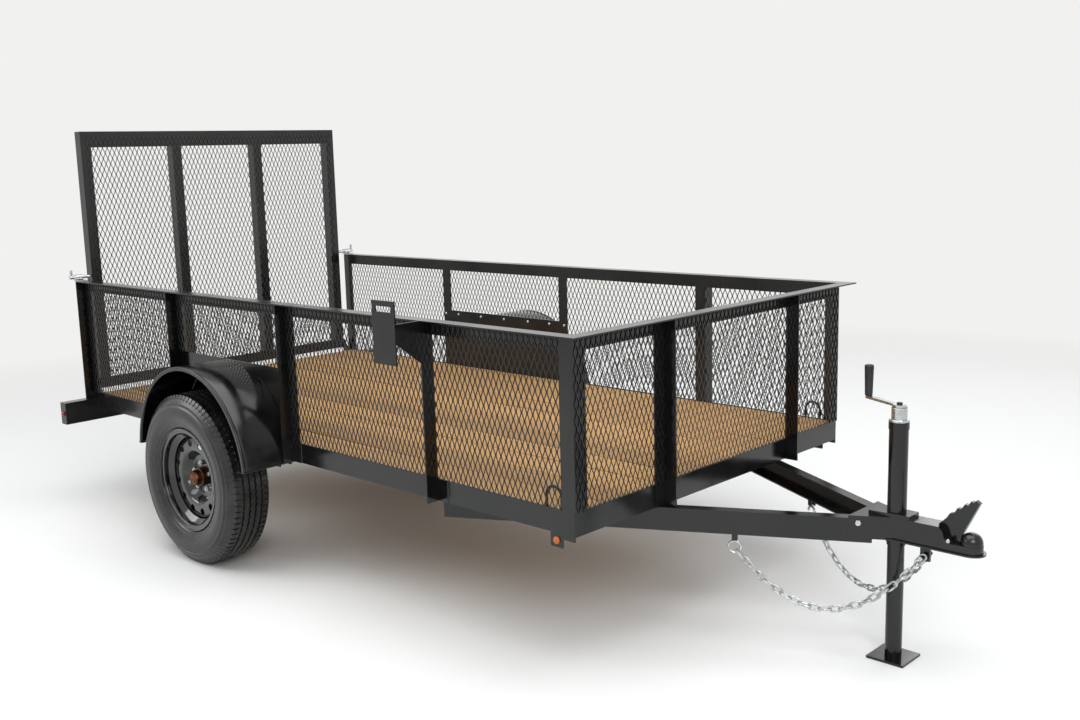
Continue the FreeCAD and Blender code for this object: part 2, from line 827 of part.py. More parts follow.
def spin_about_ball(radius, bottom):
    """Solid of a half ball on a straight throat, about the ball's upright axis."""
    z = frame_bottom - ball_centre_drop
    turn = radius * math.sqrt(0.5)
    arc = Part.Arc(Vector(ball_x, 0, z + radius), Vector(ball_x + turn, 0, z + turn),
                   Vector(ball_x + radius, 0, z)).toShape()
    rest = Part.makePolygon([Vector(ball_x + radius, 0, z), Vector(ball_x + radius, 0, bottom),
                             Vector(ball_x, 0, bottom), Vector(ball_x, 0, z + radius)])
    face = Part.Face(Part.Wire([arc] + rest.Edges))
    return face.revolve(Vector(ball_x, 0, 0), Vector(0, 0, 1), 360)


def make_chain_anchor():
    """Cross bar between the coupler's walls with a lug and the bolt that both chains end on."""
    x = ball_x - anchor_setback
    z = coupler_bottom - anchor_drop
    wall = anchor_wall
    reach = coupler_half_width - coupler_wall - anchor_gap
    bar = block(x - wall, x + wall, -reach, reach, coupler_bottom + 1, coupler_bottom + 2 * wall)
    lug = block(x - 2 * wall, x + 2 * wall, -coupler_wall, coupler_wall,
                z - 2 * wall, coupler_bottom + 2 * wall)
    bolt = rod((x, -anchor_half_width, z), (x, anchor_half_width, z), anchor_radius)
    heads = [six_sided((x, side * anchor_half_width, z), (x, side * (anchor_half_width + coupler_wall), z),
                       2 * anchor_radius) for side in (-1, 1)]
    return join([bar, lug, bolt] + heads)


def make_coupler():
    """Pressed coupler, open below: a shell round the tongue's nose, a lip and the ball housing."""
    bottom = coupler_bottom
    height = coupler_depth + coupler_rise
    under = bottom - coupler_wall
    outer = coupler_outline(0, bottom).extrude(Vector(0, 0, height)).common(coupler_profile(0))
    inner = coupler_outline(-coupler_wall, under).extrude(Vector(0, 0, height + coupler_wall))
    inner = inner.common(coupler_profile(coupler_wall))
    rear = coupler_start_x
    mouth = tongue_y_at_nose + tongue_slope * coupler_overlap
    inner = inner.fuse(block(rear - coupler_wall, rear + 1, -mouth, mouth,
                             under, coupler_top - coupler_wall))
    lip = coupler_outline(coupler_lip, bottom).extrude(Vector(0, 0, coupler_wall))
    front_only = block(coupler_start_x + coupler_lip_start, nose_x + 1, -frame_width, frame_width,
                       under, bottom + coupler_depth)
    shell = outer.fuse(lip.common(front_only)).cut(inner)
    shell = shell.fuse(spin_about_ball(ball_radius + socket_wall, bottom))
    shell = shell.cut(spin_about_ball(ball_radius, under))
    hole = rod((jack_x, 0, under), (jack_x, 0, coupler_top + 1), jack_tube_radius)
    return [shell.cut(hole).removeSplitter(), make_chain_anchor()]


def make_coupler_latch():
    """Lever on the step of the coupler, shut and leaning forward, with a toothed edge."""
    # distance ahead of the step's start, height over the coupler's top
    side = [(8, 0), (20, -30), (60, -60), (76, -30), (130, 84), (118, 92), (112, 86), (104, 88), (96, 74),
            (86, 76), (76, 60), (64, 60), (56, 44), (42, 40), (34, 26)]
    half = coupler_half_width / 4
    lever = prism([(coupler_step_x + along, -half, coupler_top + up) for along, up in side],
                  (0, 2 * half, 0))
    return [lever.cut(coupler_profile(0))]


def make_jack_tube():
    """Outer tube with its top collar, gear hub and mounting flange."""
    bottom = tongue_bottom - jack_tube_drop
    tube = rod((jack_x, 0, bottom), (jack_x, 0, jack_top), jack_tube_radius)
    inner = rod((jack_x, 0, bottom - 1), (jack_x, 0, jack_top - jack_cap_depth),
                jack_leg_radius + jack_clearance)
    collar = rod((jack_x, 0, jack_top - jack_collar_height), (jack_x, 0, jack_top), jack_collar_radius)
    hub = rod((jack_x, 0, jack_top), (jack_x, 0, jack_top + jack_hub_height), jack_hub_radius)
    rear, front = jack_x - jack_flange_rear, jack_x + jack_flange_front
    wide, slim = jack_flange_side, jack_flange_nose
    flange = prism([(rear, -wide, coupler_top), (front, -slim, coupler_top), (front, slim, coupler_top),
                    (rear, wide, coupler_top)], (0, 0, jack_flange_wall))
    return [join([tube, collar, hub, flange]).cut(inner)]


def make_jack_leg():
    """Inner leg with a square foot plate on the ground."""
    leg = rod((jack_x, 0, jack_foot_wall), (jack_x, 0, jack_leg_top), jack_leg_radius)
    half = jack_foot_size / 2
    foot = block(jack_x - half, jack_x + half, -half, half, 0, jack_foot_wall)
    return [join([leg, foot])]


def make_jack_crank():
    """Flat crank arm on the gear hub, and the tapered grip that stands on it."""
    z = jack_top + jack_hub_height
    grip_x, grip_y = jack_x - 2 * crank_reach_x, 2 * crank_reach_y
    reach = math.hypot(grip_x - jack_x, grip_y)
    half = crank_width / 2
    arm = block(0, reach, -half, half, 0, crank_wall)
    ends = [rod((0, 0, 0), (0, 0, crank_wall), crank_width),
            rod((reach, 0, 0), (reach, 0, crank_wall), half)]
    arm = join([arm] + ends)
    arm.rotate(Vector(0, 0, 0), Vector(0, 0, 1), math.degrees(math.atan2(grip_y, grip_x - jack_x)))
    arm.translate(Vector(jack_x, 0, z))
    grip = Part.makeCone(grip_top_radius, grip_radius, grip_height, Vector(grip_x, grip_y, z + crank_wall))
    return [arm], [grip]


def chain_hook():
    """Ten-sided hook round the origin in the XZ plane, with its mouth at the rear."""
    wires = []
    for r in (hook_radius, hook_radius - hook_rod):
        corners = [Vector(r * math.cos(math.pi * k / 5), -hook_wall / 2, r * math.sin(math.pi * k / 5))
                   for k in range(10)]
        wires.append(Part.makePolygon(corners + [corners[0]]))
    ring = Part.Face(wires, "Part::FaceMakerBullseye").extrude(Vector(0, hook_wall, 0))
    return ring.cut(block(-hook_radius, -hook_rod / 2, -hook_rod, hook_rod, -hook_rod, 0))


def chain_link(centre, along, pitch, upright):
    """One link as a flat eight-sided ring of square rod, upright or lying."""
    half = pitch / 2 + link_rod + link_slack
    side = link_width / 2

    def ring(inset, corner):
        a, b, c = half - inset, side - inset, corner
        return [Vector(a - c, b, 0), Vector(a, b - c, 0), Vector(a, c - b, 0), Vector(a - c, -b, 0),
                Vector(c - a, -b, 0), Vector(-a, c - b, 0), Vector(-a, b - c, 0), Vector(c - a, b, 0)]

    wires = [Part.makePolygon(p + [p[0]])
             for p in (ring(0, link_outer_corner), ring(link_rod, link_inner_corner))]
    link = Part.Face(wires, "Part::FaceMakerBullseye").extrude(Vector(0, 0, link_rod))
    link.translate(Vector(0, 0, -link_rod / 2))
    if upright:
        link.rotate(Vector(0, 0, 0), Vector(1, 0, 0), 90)
    across = Vector(0, 0, 1).cross(along).normalize()
    up = along.cross(across)
    place = FreeCAD.Matrix(along.x, across.x, up.x, centre.x, along.y, across.y, up.y, centre.y,
                           along.z, across.z, up.z, centre.z, 0, 0, 0, 1)
    return link.transformGeometry(place)


def make_chain():
    """Chain that sags from its hook under the tongue to the bolt under the coupler."""
    start, along, inward = tongue_frame()
    pin_x, pin_y = hook_place()
    hook_inner = (hook_radius - hook_rod) * math.cos(math.pi / 10)
    first = hook_inner - hook_slack
    hook = start + along * pin_x + inward * pin_y
    hook.z = tongue_bottom - hook_pin_drop - hook_inner + hook_pin_radius + link_slack
    bolt = Vector(ball_x - anchor_setback, -anchor_half_width / 2 - coupler_wall / 2,
                  coupler_bottom - anchor_drop)
    span = bolt - hook
    steps = 400
    path = []
    for i in range(steps + 1):
        t = i / steps
        path.append(hook + span * t - Vector(0, 0, chain_sag * 4 * t * (1 - t)))
    total = sum((b - a).Length for a, b in zip(path, path[1:]))
    lean = math.atan2(span.y, span.x)
    bolt_reach = anchor_radius / math.cos(lean) + link_rod / 2 * math.tan(lean)
    free = total + bolt_reach - first
    count = 2 * round(free / chain_pitch / 2)
    pitch = free / count
    ring = chain_hook()
    ring.rotate(Vector(0, 0, 0), Vector(0, 0, 1), math.degrees(math.atan2(along.y, along.x)))
    ring.translate(hook)
    pieces = [ring]
    target = first + pitch / 2
    walked = 0
    for a, b in zip(path, path[1:]):
        step = (b - a).Length
        if walked + step >= target and len(pieces) <= count:
            direction = (b - a).normalize()
            centre = a + direction * (target - walked)
            pieces.append(chain_link(centre, direction, pitch, len(pieces) % 2 == 0))
            target += pitch
        walked += step
    return pieces


def make_spare_carrier():
    """Arm, gusset and mounting plate on the right-hand post ahead of the wheel."""
    x0, x1 = post_spare, post_spare + angle_wall
    y0 = -outer_width
    y1 = y0 - spare_arm_reach
    z = side_top
    gusset = prism([(x0, y0, z), (x0, y1, z), (x0, y1, z - spare_arm_depth), (x0, y0, z - spare_gusset)],
                   (angle_wall, 0, 0))
    plate_top = z + spare_plate_top
    plate = block(x1 - spare_plate_width, x1, y1 - angle_wall, y1, plate_top - spare_plate_height, plate_top)
    slot = block(x1 - spare_plate_width + spare_slot_height, x1 - spare_slot_height,
                 y1 - angle_wall - 1, y1 + 1,
                 plate_top - 2 * spare_slot_height, plate_top - spare_slot_height)
    return [gusset.fuse(plate).removeSplitter().cut(slot)]


def make_marker_lamps():
    """Amber side lamp on a small plate below each side rail."""
    y = -half_width
    x1 = frame_length - angle_leg
    x0 = x1 - marker_plate_length
    z = frame_bottom - marker_plate_height / 2
    plate = block(x0, x1, y, y + panel_wall, frame_bottom - marker_plate_height, frame_bottom)
    lens = rod(((x0 + x1) / 2, y, z), ((x0 + x1) / 2, y - marker_depth, z), marker_radius)
    right = join([plate, lens])
    return [right, mirrored(right)]


def make_tail_lamps():
    """Lamp in each end of the rear beam, with a round red lamp on its outer end."""
    body = block(tail_lamp_recess, beam_depth - beam_wall,
                 -beam_end_y + beam_wall, -half_width - tail_lamp_inset,
                 beam_bottom + beam_wall, beam_top - beam_wall)
    x, z = beam_depth / 2, beam_bottom + beam_height / 2
    side = rod((x, -beam_end_y, z), (x, -beam_end_y - marker_depth, z), marker_radius)
    right = [body, side]
    return right + [mirrored(s) for s in right]


def make_tie_loops():
    """Bent rod tie-down loop on the inner face of each side rail near the front corner."""
    y = -half_width + rail_wall + loop_rod_radius
    x = frame_length - loop_setback
    radius = loop_width / 2
    top = deck_top + loop_height - radius
    corners = [Vector(x - radius, y, deck_top), Vector(x - radius, y, top)]
    for k in range(1, 5):
        a = math.pi * (1 - k / 5)
        corners.append(Vector(x + radius * math.cos(a), y, top + radius * math.sin(a)))
    corners += [Vector(x + radius, y, top), Vector(x + radius, y, deck_top)]
    section = []
    for k in range(8):
        a = 2 * math.pi * (k + 0.5) / 8
        section.append(corners[0] + Vector(loop_rod_radius * math.cos(a), loop_rod_radius * math.sin(a), 0))
    profile = Part.makePolygon(section + [section[0]])
    loop = Part.makePolygon(corners).makePipeShell([profile], True, False, 1)
    return [loop, mirrored(loop)]


def build():
    save_pair("side_rail", [make_side_rail()])
    save("front_rail", [make_front_rail()])
    save("rear_beam", [make_rear_beam()])
    save("crossmembers", make_crossmembers())
    save("deck_boards", make_deck_boards())
    save_pair("posts", make_posts())
    save("posts_front", make_front_posts())
    save_pair("top_rail", [make_top_rail()])
    save("top_rail_front", [make_top_rail_front()])
    save_pair("mesh", make_side_mesh())
    save("mesh_front", make_front_mesh())
    save_pair("fender_frame", make_fender_frame())
    save_pair("fender", [make_fender()])
    save("axle", [make_axle()])
    save_pair("spring", make_spring())
    save("spring_mounts", make_spring_mounts())
    save_pair("tyre", [make_tyre()])
    save_pair("rim", make_rim())
    save_pair("hub", make_hub())
    save("gate_frame", make_gate_frame())
    save("gate_mesh", make_gate_mesh())
    save("gate_lugs", make_gate_lugs())
    save("latch_pins", make_latch_pins())
    save_pair("tongue", make_tongue())
    save("coupler", make_coupler())
    save("coupler_latch", make_coupler_latch())
    save("jack_tube", make_jack_tube())
    save("jack_leg", make_jack_leg())
    crank, grip = make_jack_crank()
    save("jack_crank", crank)
    save("jack_grip", grip)
    save_pair("chain", make_chain())
    save("spare_carrier", make_spare_carrier())
    save("marker_lamps", make_marker_lamps())
    save("tail_lamps", make_tail_lamps())
    save("tie_loops", make_tie_loops())


build()
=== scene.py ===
import math

import bmesh
import bpy
import numpy as np
from mathutils import Matrix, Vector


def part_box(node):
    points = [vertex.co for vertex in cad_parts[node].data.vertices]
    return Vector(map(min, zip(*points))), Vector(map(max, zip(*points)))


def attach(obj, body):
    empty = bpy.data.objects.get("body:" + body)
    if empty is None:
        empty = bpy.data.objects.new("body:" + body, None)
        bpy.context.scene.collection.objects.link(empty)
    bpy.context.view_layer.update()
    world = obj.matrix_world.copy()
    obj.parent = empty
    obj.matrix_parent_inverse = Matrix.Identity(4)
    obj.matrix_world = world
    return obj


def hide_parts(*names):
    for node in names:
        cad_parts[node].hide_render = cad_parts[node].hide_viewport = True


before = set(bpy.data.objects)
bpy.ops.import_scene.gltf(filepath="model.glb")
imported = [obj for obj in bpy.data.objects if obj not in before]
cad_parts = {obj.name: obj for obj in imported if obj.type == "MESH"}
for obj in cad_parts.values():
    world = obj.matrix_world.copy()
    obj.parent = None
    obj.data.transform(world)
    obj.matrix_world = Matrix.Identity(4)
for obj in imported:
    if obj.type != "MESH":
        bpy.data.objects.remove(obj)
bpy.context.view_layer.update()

# Utility trailer with expanded-metal sides and a rear ramp gate. Metres, +X to the coupler,
# +Y to the left side, origin on the ground under the middle of the whole trailer.


# Places read from the frame

def corners(node):
    # lowest and highest corner of a CAD node's box
    low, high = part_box(node)
    return np.array(low), np.array(high)


beamLow, beamHigh = corners("rear_beam")
railLow, railHigh = corners("side_rail_right")
deckLow, deckHigh = corners("deck_boards")
tyreLow, tyreHigh = corners("tyre_right")
fenderLow, fenderHigh = corners("fender_right")
rearX, frontX = beamLow[0], corners("front_rail")[1][0]
halfWidth = -railLow[1]
railBottom, railTop = railLow[2], railHigh[2]
sideTop = corners("top_rail_right")[1][2]
angleLeg, angleWall = 0.0508, 0.0048     # rolled angle of the posts and top rails
postGap = 0.0006                         # taken for the gap from fender to post, which is 0.0030 in the CAD
wheelX = (tyreLow[0] + tyreHigh[0]) / 2
wheelZ = (tyreLow[2] + tyreHigh[2]) / 2
tyreY = -(tyreLow[1] + tyreHigh[1]) / 2
fenderX = (fenderLow[0] + fenderHigh[0]) / 2
postBefore = fenderLow[0] - postGap      # 0.0024 short of the posts behind and ahead of the fender
postAfter = fenderHigh[0] + postGap
postSpare = corners("spare_carrier")[1][0] - angleWall     # rear face of the web of the post there
# web of the right-hand tongue: distance from the middle line at the frame's front and at the nose, and the
# way between them
tongueSide, noseSide, noseAhead = 0.370, 0.057, 0.580
tongueSlope = (tongueSide - noseSide) / noseAhead
bracketBottom = corners("tongue_right")[0][2]    # of the hook's bracket, 0.023 below the tongue's flange
chainBoltX, chainBoltZ = frontX + 0.724, railBottom - 0.100


# Camera, floor and light

camera = {
    "place": (5.2527, -3.2490, 1.1221),   # from the middle of the frame's rear edge, at its underside
    "azimuth": 45.1735,          # degrees, 0 looks along +Y
    "down": 9.4628,
    "roll": -1.8043,
    "focalPixels": 1156.977,     # for a picture 1080 pixels wide
    "imageSize": (1080, 720),
    "centrePixel": (497.825, 351.150),
    "sensorWidth": 36.0,
}


def addCamera(values, origin):
    # forward = (-sin a cos d, cos a cos d, -sin d); right and up are turned about it by the roll
    turn, down, roll = (math.radians(values[k]) for k in ("azimuth", "down", "roll"))
    forward = np.array([-math.sin(turn) * math.cos(down), math.cos(turn) * math.cos(down), -math.sin(down)])
    level = np.array([math.cos(turn), math.sin(turn), 0])
    above = np.cross(level, forward)
    right = level * math.cos(roll) + above * math.sin(roll)
    up = above * math.cos(roll) - level * math.sin(roll)
    data = bpy.data.cameras.new("photoCamera")
    width, height = values["imageSize"]
    data.sensor_width = values["sensorWidth"]
    data.lens = values["focalPixels"] / width * values["sensorWidth"]
    data.shift_x = (width / 2 - values["centrePixel"][0]) / width
    data.shift_y = (values["centrePixel"][1] - height / 2) / width
    data.clip_end = 200
    holder = bpy.data.objects.new("photoCamera", data)
    matrix = np.eye(4)
    matrix[:3, 0], matrix[:3, 1], matrix[:3, 2], matrix[:3, 3] = right, up, -forward, origin + values["place"]
    holder.matrix_world = Matrix(matrix.tolist())
    bpy.context.scene.collection.objects.link(holder)
    bpy.context.scene.camera = holder


def unit(vectors):
    # each vector divided by its own length
    return vectors / np.linalg.norm(vectors, axis=-1, keepdims=True)


def linear(hexColour):
    # sRGB to linear: c / 12.92 up to 0.04045, above it ((c + 0.055) / 1.055) to the power 2.4
    channels = np.array([int(hexColour[k:k + 2], 16) / 255 for k in (1, 3, 5)])
    low = channels / 12.92
    high = ((channels + 0.055) / 1.055) ** 2.4
    return (*np.where(channels <= 0.04045, low, high).tolist(), 1.0)


def addNode(tree, kind, settings=None, links=None):
    # one shader node; a setting is a property of the node or else one of its inputs
    node = tree.nodes.new("ShaderNode" + kind)
    for key, value in (settings or {}).items():
        if isinstance(key, str) and hasattr(node, key):
            setattr(node, key, value)
        else:
            node.inputs[key].default_value = value
    for key, socket in (links or {}).items():
        tree.links.new(socket, node.inputs[key])
    return node


def startMaterial(name, colour, roughness, metallic=0.0, settings=None):
    # one principled shader in a plain colour, and the object's own coordinates to vary it by
    material = bpy.data.materials.new(name)
    material.use_nodes = True
    tree = material.node_tree
    shader = tree.nodes["Principled BSDF"]
    shader.inputs["Base Color"].default_value = linear(colour)
    shader.inputs["Roughness"].default_value = roughness
    shader.inputs["Metallic"].default_value = metallic
    for key, value in (settings or {}).items():
        shader.inputs[key].default_value = value
    coordinate = addNode(tree, "TexCoord").outputs["Object"]
    return material, tree, shader, coordinate


stage = {
    "floorColour": "#eeeeec",
    "backdropColour": "#f1f1ef",
    "floorSize": 60.0,
    "fadeFrom": 2.2,             # metres from the middle, where the floor starts to turn into the backdrop
    "fadeTo": 6.5,
    "worldColour": "#e8edf2",
    "worldStrength": 0.55,
    # name, energy in watts, width, depth, place, point it looks at
    "lamps": [
        ("overhead", 235, 6.0, 5.0, (0.6, -0.6, 5.2), (0.2, 0.0, 0.0)),
        ("rightFront", 120, 3.0, 2.4, (4.6, -3.6, 3.6), (0.4, 0.0, 0.6)),
        ("rightRear", 90, 3.0, 2.4, (-4.2, -4.2, 3.2), (-0.4, 0.0, 0.6)),
        ("left", 60, 3.5, 2.4, (0.8, 5.0, 3.4), (0.0, 0.0, 0.6)),
    ],
}


def addRaySwitch(tree, first, *others):
    # 1 for a ray of any of these kinds, else 0
    path = addNode(tree, "LightPath")
    seen = path.outputs[first]
    for kind in others:
        seen = addNode(tree, "Math", {"operation": "MAXIMUM"}, {0: seen, 1: path.outputs[kind]}).outputs[0]
    return seen


def makeStage(values):
    # the floor is one flat square; the world shows the backdrop colour to the eye and to gloss
    half = values["floorSize"] / 2
    mesh = bpy.data.meshes.new("floor")
    square = [(-half, -half, 0), (half, -half, 0), (half, half, 0), (-half, half, 0)]
    mesh.from_pydata(square, [], [(0, 1, 2, 3)])
    floor = bpy.data.objects.new("floor", mesh)
    bpy.context.scene.collection.objects.link(floor)
    material, tree, shader, coordinate = startMaterial("studioFloor", values["floorColour"], 0.9)
    shader.inputs["Specular IOR Level"].default_value = 0.1
    away = addNode(tree, "VectorMath", {"operation": "LENGTH"}, {0: coordinate})
    fade = addNode(tree, "MapRange", {"From Min": values["fadeFrom"], "From Max": values["fadeTo"]},
                   {"Value": away.outputs["Value"]})
    seen = addRaySwitch(tree, "Is Camera Ray", "Is Glossy Ray")
    share = addNode(tree, "Math", {"operation": "MULTIPLY"}, {0: fade.outputs[0], 1: seen})
    far = addNode(tree, "Emission", {"Color": linear(values["backdropColour"])})
    mix = addNode(tree, "MixShader", {}, {0: share.outputs[0], 1: shader.outputs[0], 2: far.outputs[0]})
    tree.links.new(mix.outputs[0], tree.nodes["Material Output"].inputs["Surface"])
    mesh.materials.append(material)
    bpy.context.scene.view_settings.view_transform = "Standard"
    world = bpy.data.worlds.new("studio")
    world.use_nodes = True
    bpy.context.scene.world = world
    tree = world.node_tree
    backdrop = addNode(tree, "Background", {"Color": linear(values["backdropColour"]), "Strength": 1.0})
    light = addNode(tree, "Background", {"Color": linear(values["worldColour"]),
                                         "Strength": values["worldStrength"]})
    shown = addRaySwitch(tree, "Is Camera Ray", "Is Glossy Ray", "Is Transmission Ray")
    mix = addNode(tree, "MixShader", {}, {0: shown, 1: light.outputs[0], 2: backdrop.outputs[0]})
    tree.links.new(mix.outputs[0], tree.nodes["World Output"].inputs["Surface"])
    for name, power, width, depth, place, target in values["lamps"]:
        lamp = bpy.data.lights.new(name, "AREA")
        lamp.shape = "RECTANGLE"
        lamp.size, lamp.size_y, lamp.energy = width, depth, power
        holder = bpy.data.objects.new(name, lamp)
        back = unit(np.array(place) - np.array(target))
        side = unit(np.cross((0, 0, 1), back) + np.array((1e-6, 0, 0)))
        matrix = np.eye(4)
        matrix[:3, 0], matrix[:3, 1], matrix[:3, 2], matrix[:3, 3] = side, np.cross(back, side), back, place
        holder.matrix_world = Matrix(matrix.tolist())
        bpy.context.scene.collection.objects.link(holder)


addCamera(camera, np.array([rearX, 0, railBottom]))
makeStage(stage)
print("camera, floor and light made")


# Mesh helpers

def gridPart(grid, wrapRows=False, wrapColumns=False):
    # grid of copies x rows x columns x 3; point (row, column) has index row * columns + column,
    # and each quad joins (r, c), (r + 1, c), (r + 1, c + 1), (r, c + 1)
    grid = np.asarray(grid, float)
    grid = grid[None] if grid.ndim == 3 else grid
    copies, rows, columns = grid.shape[:3]
    r, c = np.meshgrid(np.arange(rows if wrapRows else rows - 1),
                       np.arange(columns if wrapColumns else columns - 1), indexing="ij")
    r1, c1 = (r + 1) % rows, (c + 1) % columns
    quads = np.stack([r * columns + c, r1 * columns + c, r1 * columns + c1, r * columns + c1], -1)
    starts = np.arange(copies) * rows * columns
    return grid.reshape(-1, 3), (quads.reshape(-1, 4)[None] + starts[:, None, None]).reshape(-1, 4)


def capped(grid):
    # close both ends of a grid by a row drawn together at its mean
    grid = np.asarray(grid, float)
    first = np.repeat(grid[..., :1, :, :].mean(-2, keepdims=True), grid.shape[-2], -2)
    last = np.repeat(grid[..., -1:, :, :].mean(-2, keepdims=True), grid.shape[-2], -2)
    return np.concatenate([first, grid, last], -3)


def closedPart(grid):
    # tube or rod: the section goes round, both ends are drawn together
    return gridPart(capped(grid), wrapColumns=True)


def addPiece(name, parts, material, body, replaced=(), crease=32.0, weld=True, slot=None):
    # all parts become one mesh; doubles are merged, then faces turned outwards
    points = np.concatenate([p for p, q in parts])
    starts = np.cumsum([0] + [len(p) for p, q in parts[:-1]])
    quads = np.concatenate([q + s for (p, q), s in zip(parts, starts)])
    mesh = bpy.data.meshes.new(name)
    mesh.vertices.add(len(points))
    mesh.vertices.foreach_set("co", points.astype(np.float32).ravel())
    mesh.loops.add(quads.size)
    mesh.loops.foreach_set("vertex_index", quads.astype(np.int32).ravel())
    mesh.polygons.add(len(quads))
    mesh.polygons.foreach_set("loop_start", np.arange(len(quads), dtype=np.int32) * 4)
    mesh.update(calc_edges=True)
    if weld:
        work = bmesh.new()
        work.from_mesh(mesh)
        bmesh.ops.remove_doubles(work, verts=work.verts, dist=2e-6)
        bmesh.ops.recalc_face_normals(work, faces=work.faces)
        work.to_mesh(mesh)
        work.free()
    mesh.polygons.foreach_set("use_smooth", np.ones(len(mesh.polygons), bool))
    mesh.set_sharp_from_angle(angle=math.radians(crease))
    mesh.materials.append(material)
    piece = bpy.data.objects.new(name, mesh)
    bpy.context.scene.collection.objects.link(piece)
    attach(piece, body)
    if replaced:
        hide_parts(*replaced)


def mirrored(parts):
    # the same parts with y turned to -y
    return [(points * (1, -1, 1), quads) for points, quads in parts]


def addPair(name, parts, material, body="chassis", node=None, **look):
    # the right-hand piece and its mirror image; {} in a body or node stands for the side, and a node
    # without it is replaced by the right-hand piece alone
    for side, own in (("right", parts), ("left", mirrored(parts))):
        replaced = [node.format(side)] if node and ("{}" in node or side == "right") else []
        addPiece(name + side.capitalize(), own, material, body.format(side), replaced, **look)


def curveThrough(points, steps):
    # smooth line through the points: cubic with the slope (next - last) / 2 at each of them
    p = np.asarray(points, float)
    q = np.concatenate([2 * p[:1] - p[1:2], p, 2 * p[-1:] - p[-2:-1]])
    t = np.linspace(0, 1, steps, endpoint=False)[None, :, None]
    a, b, c, d = (q[k:k + len(p) - 1, None, :] for k in range(4))
    line = 0.5 * (2 * b + (c - a) * t + (2 * a - 5 * b + 4 * c - d) * t ** 2
                  + (3 * b - 3 * c + d - a) * t ** 3)
    return np.concatenate([line.reshape(-1, p.shape[1]), p[-1:]])


def thickened(line, wall):
    # closed outline at half the wall either side of an open plane line
    along = unit(np.gradient(line, axis=0))
    across = np.stack([-along[:, 1], along[:, 0]], -1) * wall / 2
    return np.concatenate([line + across, (line - across)[::-1]])


def turnedGrid(profile, centre, turns, axis="y"):
    # profile of (distance along the axis, radius): point = centre + axis * d + radius * (cos a, sin a)
    profile = np.asarray(profile, float)
    angle = np.linspace(0, 2 * math.pi, turns, endpoint=False)[:, None]
    d = np.broadcast_to(profile[None, :, 0], (turns, len(profile)))
    u, v = profile[None, :, 1] * np.cos(angle), profile[None, :, 1] * np.sin(angle)
    order = {"y": (u, d, v), "z": (u, v, d)}[axis]
    return np.stack(order, -1) + np.asarray(centre, float)


def roundedSection(width, height, radius, steps=3):
    # rectangle with quarter-circle corners, as points across and up
    angle = np.linspace(0, math.pi / 2, steps + 1)
    quarter = np.stack([np.cos(angle), np.sin(angle)], -1) * radius
    cx, cy = width / 2 - radius, height / 2 - radius
    turn = np.array([[0, -1], [1, 0]])
    rows = []
    for centre in ((cx, cy), (-cx, cy), (-cx, -cy), (cx, -cy)):
        rows.append(quarter + centre)
        quarter = quarter @ turn.T
    return np.concatenate(rows)


def carried(section, path, normal, closed=False):
    # section carried along a plane path: point = path + across * side + up * normal, where side is
    # normal x tangent
    path = np.asarray(path, float)
    normal = np.asarray(normal, float)
    if closed:
        tangent = np.roll(path, -1, axis=0) - np.roll(path, 1, axis=0)
    else:
        tangent = np.gradient(path, axis=0)
    side = np.cross(normal, unit(tangent))
    return path[:, None] + section[None, :, :1] * side[:, None] + section[None, :, 1:] * normal


def circle(radius, steps):
    # points radius * (cos a, sin a) at equal angles
    angle = np.linspace(0, 2 * math.pi, steps, endpoint=False)
    return np.stack([radius * np.cos(angle), radius * np.sin(angle)], -1)


# Materials

def addNoise(tree, coordinate, scale, detail, roughness=0.5, distortion=0.0):
    # cloud pattern, scale in features per metre
    noise = addNode(tree, "TexNoise", {"Scale": scale, "Detail": detail, "Roughness": roughness,
                                       "Distortion": distortion}, {"Vector": coordinate})
    return noise.outputs[0]


def addRamp(tree, value, *stops):
    # colour read off a value; each stop is a place on the ramp and the colour there
    ramp = addNode(tree, "ValToRGB", {}, {0: value})
    for element, (place, colour) in zip(ramp.color_ramp.elements, stops):
        element.position, element.color = place, linear(colour)
    return ramp.outputs[0]


def setTone(tree, shader, value, *stops):
    # the surface takes its colour from a ramp
    tree.links.new(addRamp(tree, value, *stops), shader.inputs["Base Color"])


def setSheen(tree, shader, value, low, high, start=0.0, end=1.0):
    # roughness rises evenly from low to high as the value goes from start to end
    sheen = addNode(tree, "MapRange", {"From Min": start, "From Max": end, "To Min": low, "To Max": high},
                    {"Value": value})
    tree.links.new(sheen.outputs[0], shader.inputs["Roughness"])


def setBump(tree, shader, height, strength, depth):
    # light falls as on a surface that rises by up to the depth where the height is 1
    bump = addNode(tree, "Bump", {"Strength": strength, "Distance": depth}, {"Height": height})
    tree.links.new(bump.outputs[0], shader.inputs["Normal"])


def makeBlackEnamel():
    # air-dried gloss enamel: deep black, with orange peel and a film of road dust
    m, tree, shader, coordinate = startMaterial("glossEnamel", "#0b0c0e", 0.2)
    dust = addNoise(tree, coordinate, 3.5, 6.0, 0.62)
    setTone(tree, shader, dust, (0.42, "#08090b"), (0.78, "#1d1c1a"))
    setSheen(tree, shader, dust, 0.10, 0.32, 0.35, 0.75)
    setBump(tree, shader, addNoise(tree, coordinate, 1 / 0.0032, 1.0), 0.10, 0.0004)
    return m


def makeSheetEnamel():
    # the same enamel on expanded steel: thinner, duller, worn brown on the raised strands
    m, tree, shader, coordinate = startMaterial("sheetEnamel", "#0d0e10", 0.38)
    wear = addNoise(tree, coordinate, 60.0, 4.0, 0.7)
    setTone(tree, shader, wear, (0.45, "#0b0c0e"), (0.80, "#2a2522"))
    setSheen(tree, shader, wear, 0.26, 0.55)
    return m


